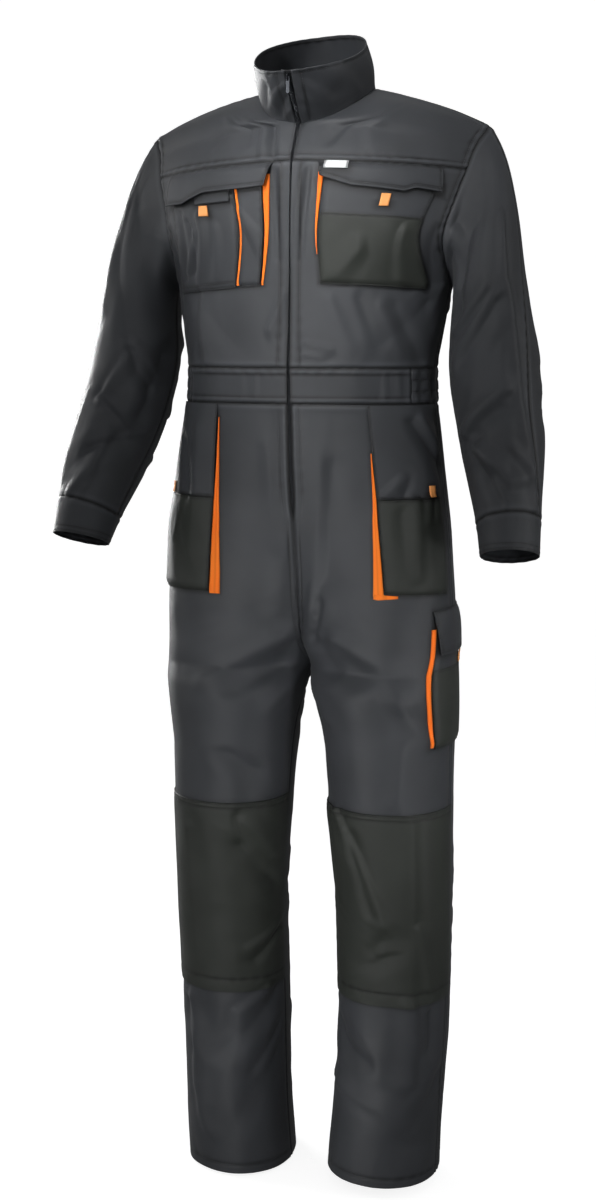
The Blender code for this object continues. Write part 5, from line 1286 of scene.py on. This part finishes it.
def addElastic():
    rows = []
    levels = np.linspace(waistBottom, waistTop, elastic["rows"])
    share = np.linspace(0, 1, elastic["columns"])
    for level in levels:
        # from where the front band ends, round the side to the centre back
        across = elastic["from"] + (1 - elastic["from"]) * share
        side = sample(surfaces["chest", left], across, 0 * share + level)[0]
        rear = sample(surfaces["back", left], share[::-1], 0 * share + level)[0]
        half = np.vstack([side, rear[1:]])
        line = np.vstack([half, (half * (-1, 1, 1))[-2::-1]])
        run = runAlong(line)
        places = np.linspace(0, run[-1], elastic["gathers"] * elastic["perGather"] + 1)
        rows.append(np.stack([np.interp(places, run, line[:, k]) for k in range(3)], 1))
    points = np.array(rows)
    out = wayOut(points, 1)
    if (out[:, len(out[0]) // 2] * (0, 1, 0)).sum() < 0:
        out = -out
    column = np.linspace(0, 4 * elastic["gathers"], points.shape[1])
    rise = np.linspace(0, 1, elastic["rows"])[:, None]
    lean = 0.5 * np.sin(column * 0.37)
    size = elastic["height"] + elastic["uneven"] * np.sin(1.1 * column)
    wave = np.sin(math.pi / 2 * column + lean * (rise - 0.5) * 1.6) * size
    sewn = 1 - elastic["held"] * sum(bell((rise - at) / elastic["narrow"]) for at in elastic["channels"])
    free = np.clip(np.minimum(column, column[-1] - column) / 2, 0, 1)
    height = wave * np.sin(rise * math.pi) ** 0.5 * sewn * free - elastic["sunk"] * (1 - sewn)
    points = points + out * height[..., None]
    node = "waistband_back"
    addCloth(node + "_cloth", points, out, "greyTwill", node, "bottom top")


addElastic()

print("zip")
# metres: half the tape and its thickness, how far it lies behind the cloth, at its edges and by the neck too;
# the teeth's pitch and size, the room below and above them, and how far they keep inside the slit
zipper = {
    "half": 0.010, "thick": 0.0009, "gap": 0.0004, "edge": 0.0010, "neckEdge": 0.0028, "neckBack": 0.0010,
    "pitch": 0.0025, "tooth": 0.00055, "step": 0.003, "below": 0.004, "above": 0.014, "clear": 0.0003,
}


def zipLine():
    # from the end of the fly up to the collar's top: half the slit's width, the centre front's y and z, and
    # 1 along the collar, 0 below it
    fly = np.arange(flyEnd, waistBottom, zipper["step"])
    body = np.arange(waistBottom, neckFront, zipper["step"])
    low = sample(surfaces["legFront", left], 0 * fly, fly)[0]
    middle = sample(surfaces["chest", left], 0 * body, body)[0]
    top = pieces["collar"]["points"][:, 0]
    line = np.vstack([low, middle, top])
    atNeck = np.concatenate([np.zeros(len(low) + len(middle)), np.ones(len(top))])
    return abs(line[:, 0]), line[:, 1:], atNeck


def addTape():
    _, line, atNeck = zipLine()
    line = line[:-1]
    atNeck = np.clip(np.convolve(atNeck[:-1], np.ones(5) / 5, "same") + atNeck[:-1], 0, 1)
    x = np.linspace(-1, 1, 11) * zipper["half"]
    points = np.empty((len(line), len(x), 3))
    points[..., 0] = x
    points[..., 1:] = line[:, None]
    out = wayOut(points, 1)
    side = np.clip((abs(x) / zipper["half"] - 1 / 3) * 1.5, 0, 1)
    edge = zipper["edge"] + (zipper["neckEdge"] - zipper["edge"]) * atNeck
    depth = zipper["gap"] + zipper["thick"] + edge[:, None] * side + zipper["neckBack"] * atNeck[:, None]
    if out[len(line) // 2, 5][1] > 0:
        out = -out
    points = points - out * depth[..., None]
    addCloth("zip_tape_cloth", points, out, "zipTape", "zip_tape", thick=zipper["thick"])


addTape()


def addMany(name, template, finish, places, ways):
    # one mesh of many copies of a small template, each at its place with its own three axes
    count, each = len(places), len(template.vertices)
    corners = np.empty(each * 3, np.float32)
    template.vertices.foreach_get("co", corners)
    shapes = np.einsum("kv,nvw->nkw", corners.reshape(-1, 3), ways) + places[:, None]
    bm = bmesh.new()
    block = template.copy()
    for bit in bin(count)[:1:-1]:
        if bit == "1":
            bm.from_mesh(block)
        double = bmesh.new()
        double.from_mesh(block)
        double.from_mesh(block)
        double.to_mesh(block)
        double.free()
    mesh = meshOf(name, bm)
    bpy.data.meshes.remove(block)
    mesh.vertices.foreach_set("co", shapes.astype(np.float32).ravel())
    mesh.update()
    mesh.shade_smooth()
    mesh.materials.append(materials[finish])
    made = addObject(name, mesh)
    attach(made, "suit")


print("stitches")


def seamLine(node, edge, inset):
    # the outer face of a piece, followed at one distance from an edge
    piece = pieces[node]
    points = piece["points"] + piece["out"] * piece["wall"]
    distance = edgeDistances(points)[edge]
    out = piece["out"]
    if edge in ("in", "out"):
        points, out, distance = points.swapaxes(0, 1), out.swapaxes(0, 1), distance.T
    if edge in ("top", "out"):
        points, out, distance = points[::-1], out[::-1], distance[::-1]
    line, normals = [], []
    for k in range(points.shape[1]):
        line.append([np.interp(inset, distance[:, k], points[:, k, axis]) for axis in range(3)])
        normals.append([np.interp(inset, distance[:, k], out[:, k, axis]) for axis in range(3)])
    return np.array(line), np.array(normals)


def addStitches():
    found = {"greyThread": [], "darkThread": []}
    for node, edge, inset, begin, end in sewing:
        line, normals = seamLine(node, edge, inset / 1000)
        run = runAlong(line)
        first, last = begin * run[-1] + stitch["fromEnd"], end * run[-1] - stitch["fromEnd"]
        at = np.arange(first, last, stitch["pitch"])
        if len(at) == 0:
            continue

        def along(values, where):
            return np.stack([np.interp(where, run, values[:, k]) for k in range(3)], 1)

        middle, out = along(line, at), along(normals, at)
        way = unit(along(line, at + stitch["length"] / 2) - along(line, at - stitch["length"] / 2))
        out = unit(out - (out * way).sum(axis=1, keepdims=True) * way)
        aside = np.cross(out, way)
        axes = np.stack([way * stitch["length"], aside * stitch["width"], out * stitch["height"]], 1)
        dark = "patch" in node or "knee" in node
        found["darkThread" if dark else "greyThread"].append((middle, axes / 2))
    bm = bmesh.new()
    bmesh.ops.create_icosphere(bm, subdivisions=1, radius=1)
    template = meshOf("stitch", bm)
    for finish, rows in found.items():
        places = np.concatenate([row[0] for row in rows])
        print(finish, len(places))
        addMany(finish + "_stitches", template, finish, places, np.concatenate([row[1] for row in rows]))


addStitches()


def addTeeth():
    # teeth in two rows that mesh, kept as narrow as the slit that they show through
    half, line, _ = zipLine()
    run = runAlong(line)
    at = np.arange(zipper["below"], run[-1] - zipper["above"], zipper["pitch"] / 2)
    across = np.interp(at, run, half) - zipper["clear"]
    y, z = (np.interp(at, run, line[:, k]) for k in (0, 1))
    up = unit(np.stack([0 * at, np.gradient(y, at), np.gradient(z, at)], 1))
    out = np.cross((1, 0, 0), up)
    turn = np.where(np.arange(len(at)) % 2, 1, -1)
    places = np.stack([turn * across * 0.35, y, z], 1) + out * 0.0002
    sideways = np.stack([across * 0.6, 0 * at, 0 * at], 1)
    axes = np.stack([sideways, up * zipper["tooth"], out * zipper["tooth"]], 1)
    bm = bmesh.new()
    bmesh.ops.create_cube(bm, size=2)
    bmesh.ops.bevel(bm, geom=bm.edges[:], offset=0.45, segments=1, affect="EDGES")
    addMany("zip_teeth", meshOf("tooth", bm), "zipMetal", places, axes)


addTeeth()
for node in ("zip_slider", "zip_pull"):
    metal = scene.objects[node].data.materials
    metal.clear()
    metal.append(materials["zipMetal"])


def addFloor():
    # a pale floor that rises all round, far from the suit, without an edge
    floor = bpy.data.objects.new("floor", bpy.data.meshes.new("floor"))
    level, flat, bend, turns, steps = cadBox[0][2] - 0.004, 5.0, 3.0, 64, 16
    section = [(away, level) for away in (0.001, 1.0, 3.0, flat)]
    for k in range(1, steps + 1):
        angle = math.pi / 2 * k / steps
        section.append((flat + bend * math.sin(angle), level + bend * (1 - math.cos(angle))))
    section.append((flat + bend, level + bend + 5))
    bm = bmesh.new()
    rings = []
    around = [2 * math.pi * k / turns for k in range(turns)]
    for away, height in section:
        rings.append([bm.verts.new((away * math.cos(a), away * math.sin(a), height)) for a in around])
    for lower, upper in zip(rings, rings[1:]):
        for k in range(turns):
            bm.faces.new((lower[k], lower[(k + 1) % turns], upper[(k + 1) % turns], upper[k]))
    bm.faces.new(rings[0])
    bm.normal_update()
    bm.to_mesh(floor.data)
    bm.free()
    floor.data.shade_smooth()
    scene.collection.objects.link(floor)
    # matt and bright of itself, so that hardly any shadow shows on it
    paint, _, _ = newMaterial(
        "palePaint", Base_Color=(0.5, 0.5, 0.5, 1), Roughness=1.0, Specular_IOR_Level=0.0,
        Emission_Color=(1, 1, 1, 1), Emission_Strength=0.86,
    )
    floor.data.materials.append(paint)
    # so that the floor's brightness doesn't wash out the legs
    floor.visible_diffuse = False
    floor.visible_glossy = False


addFloor()
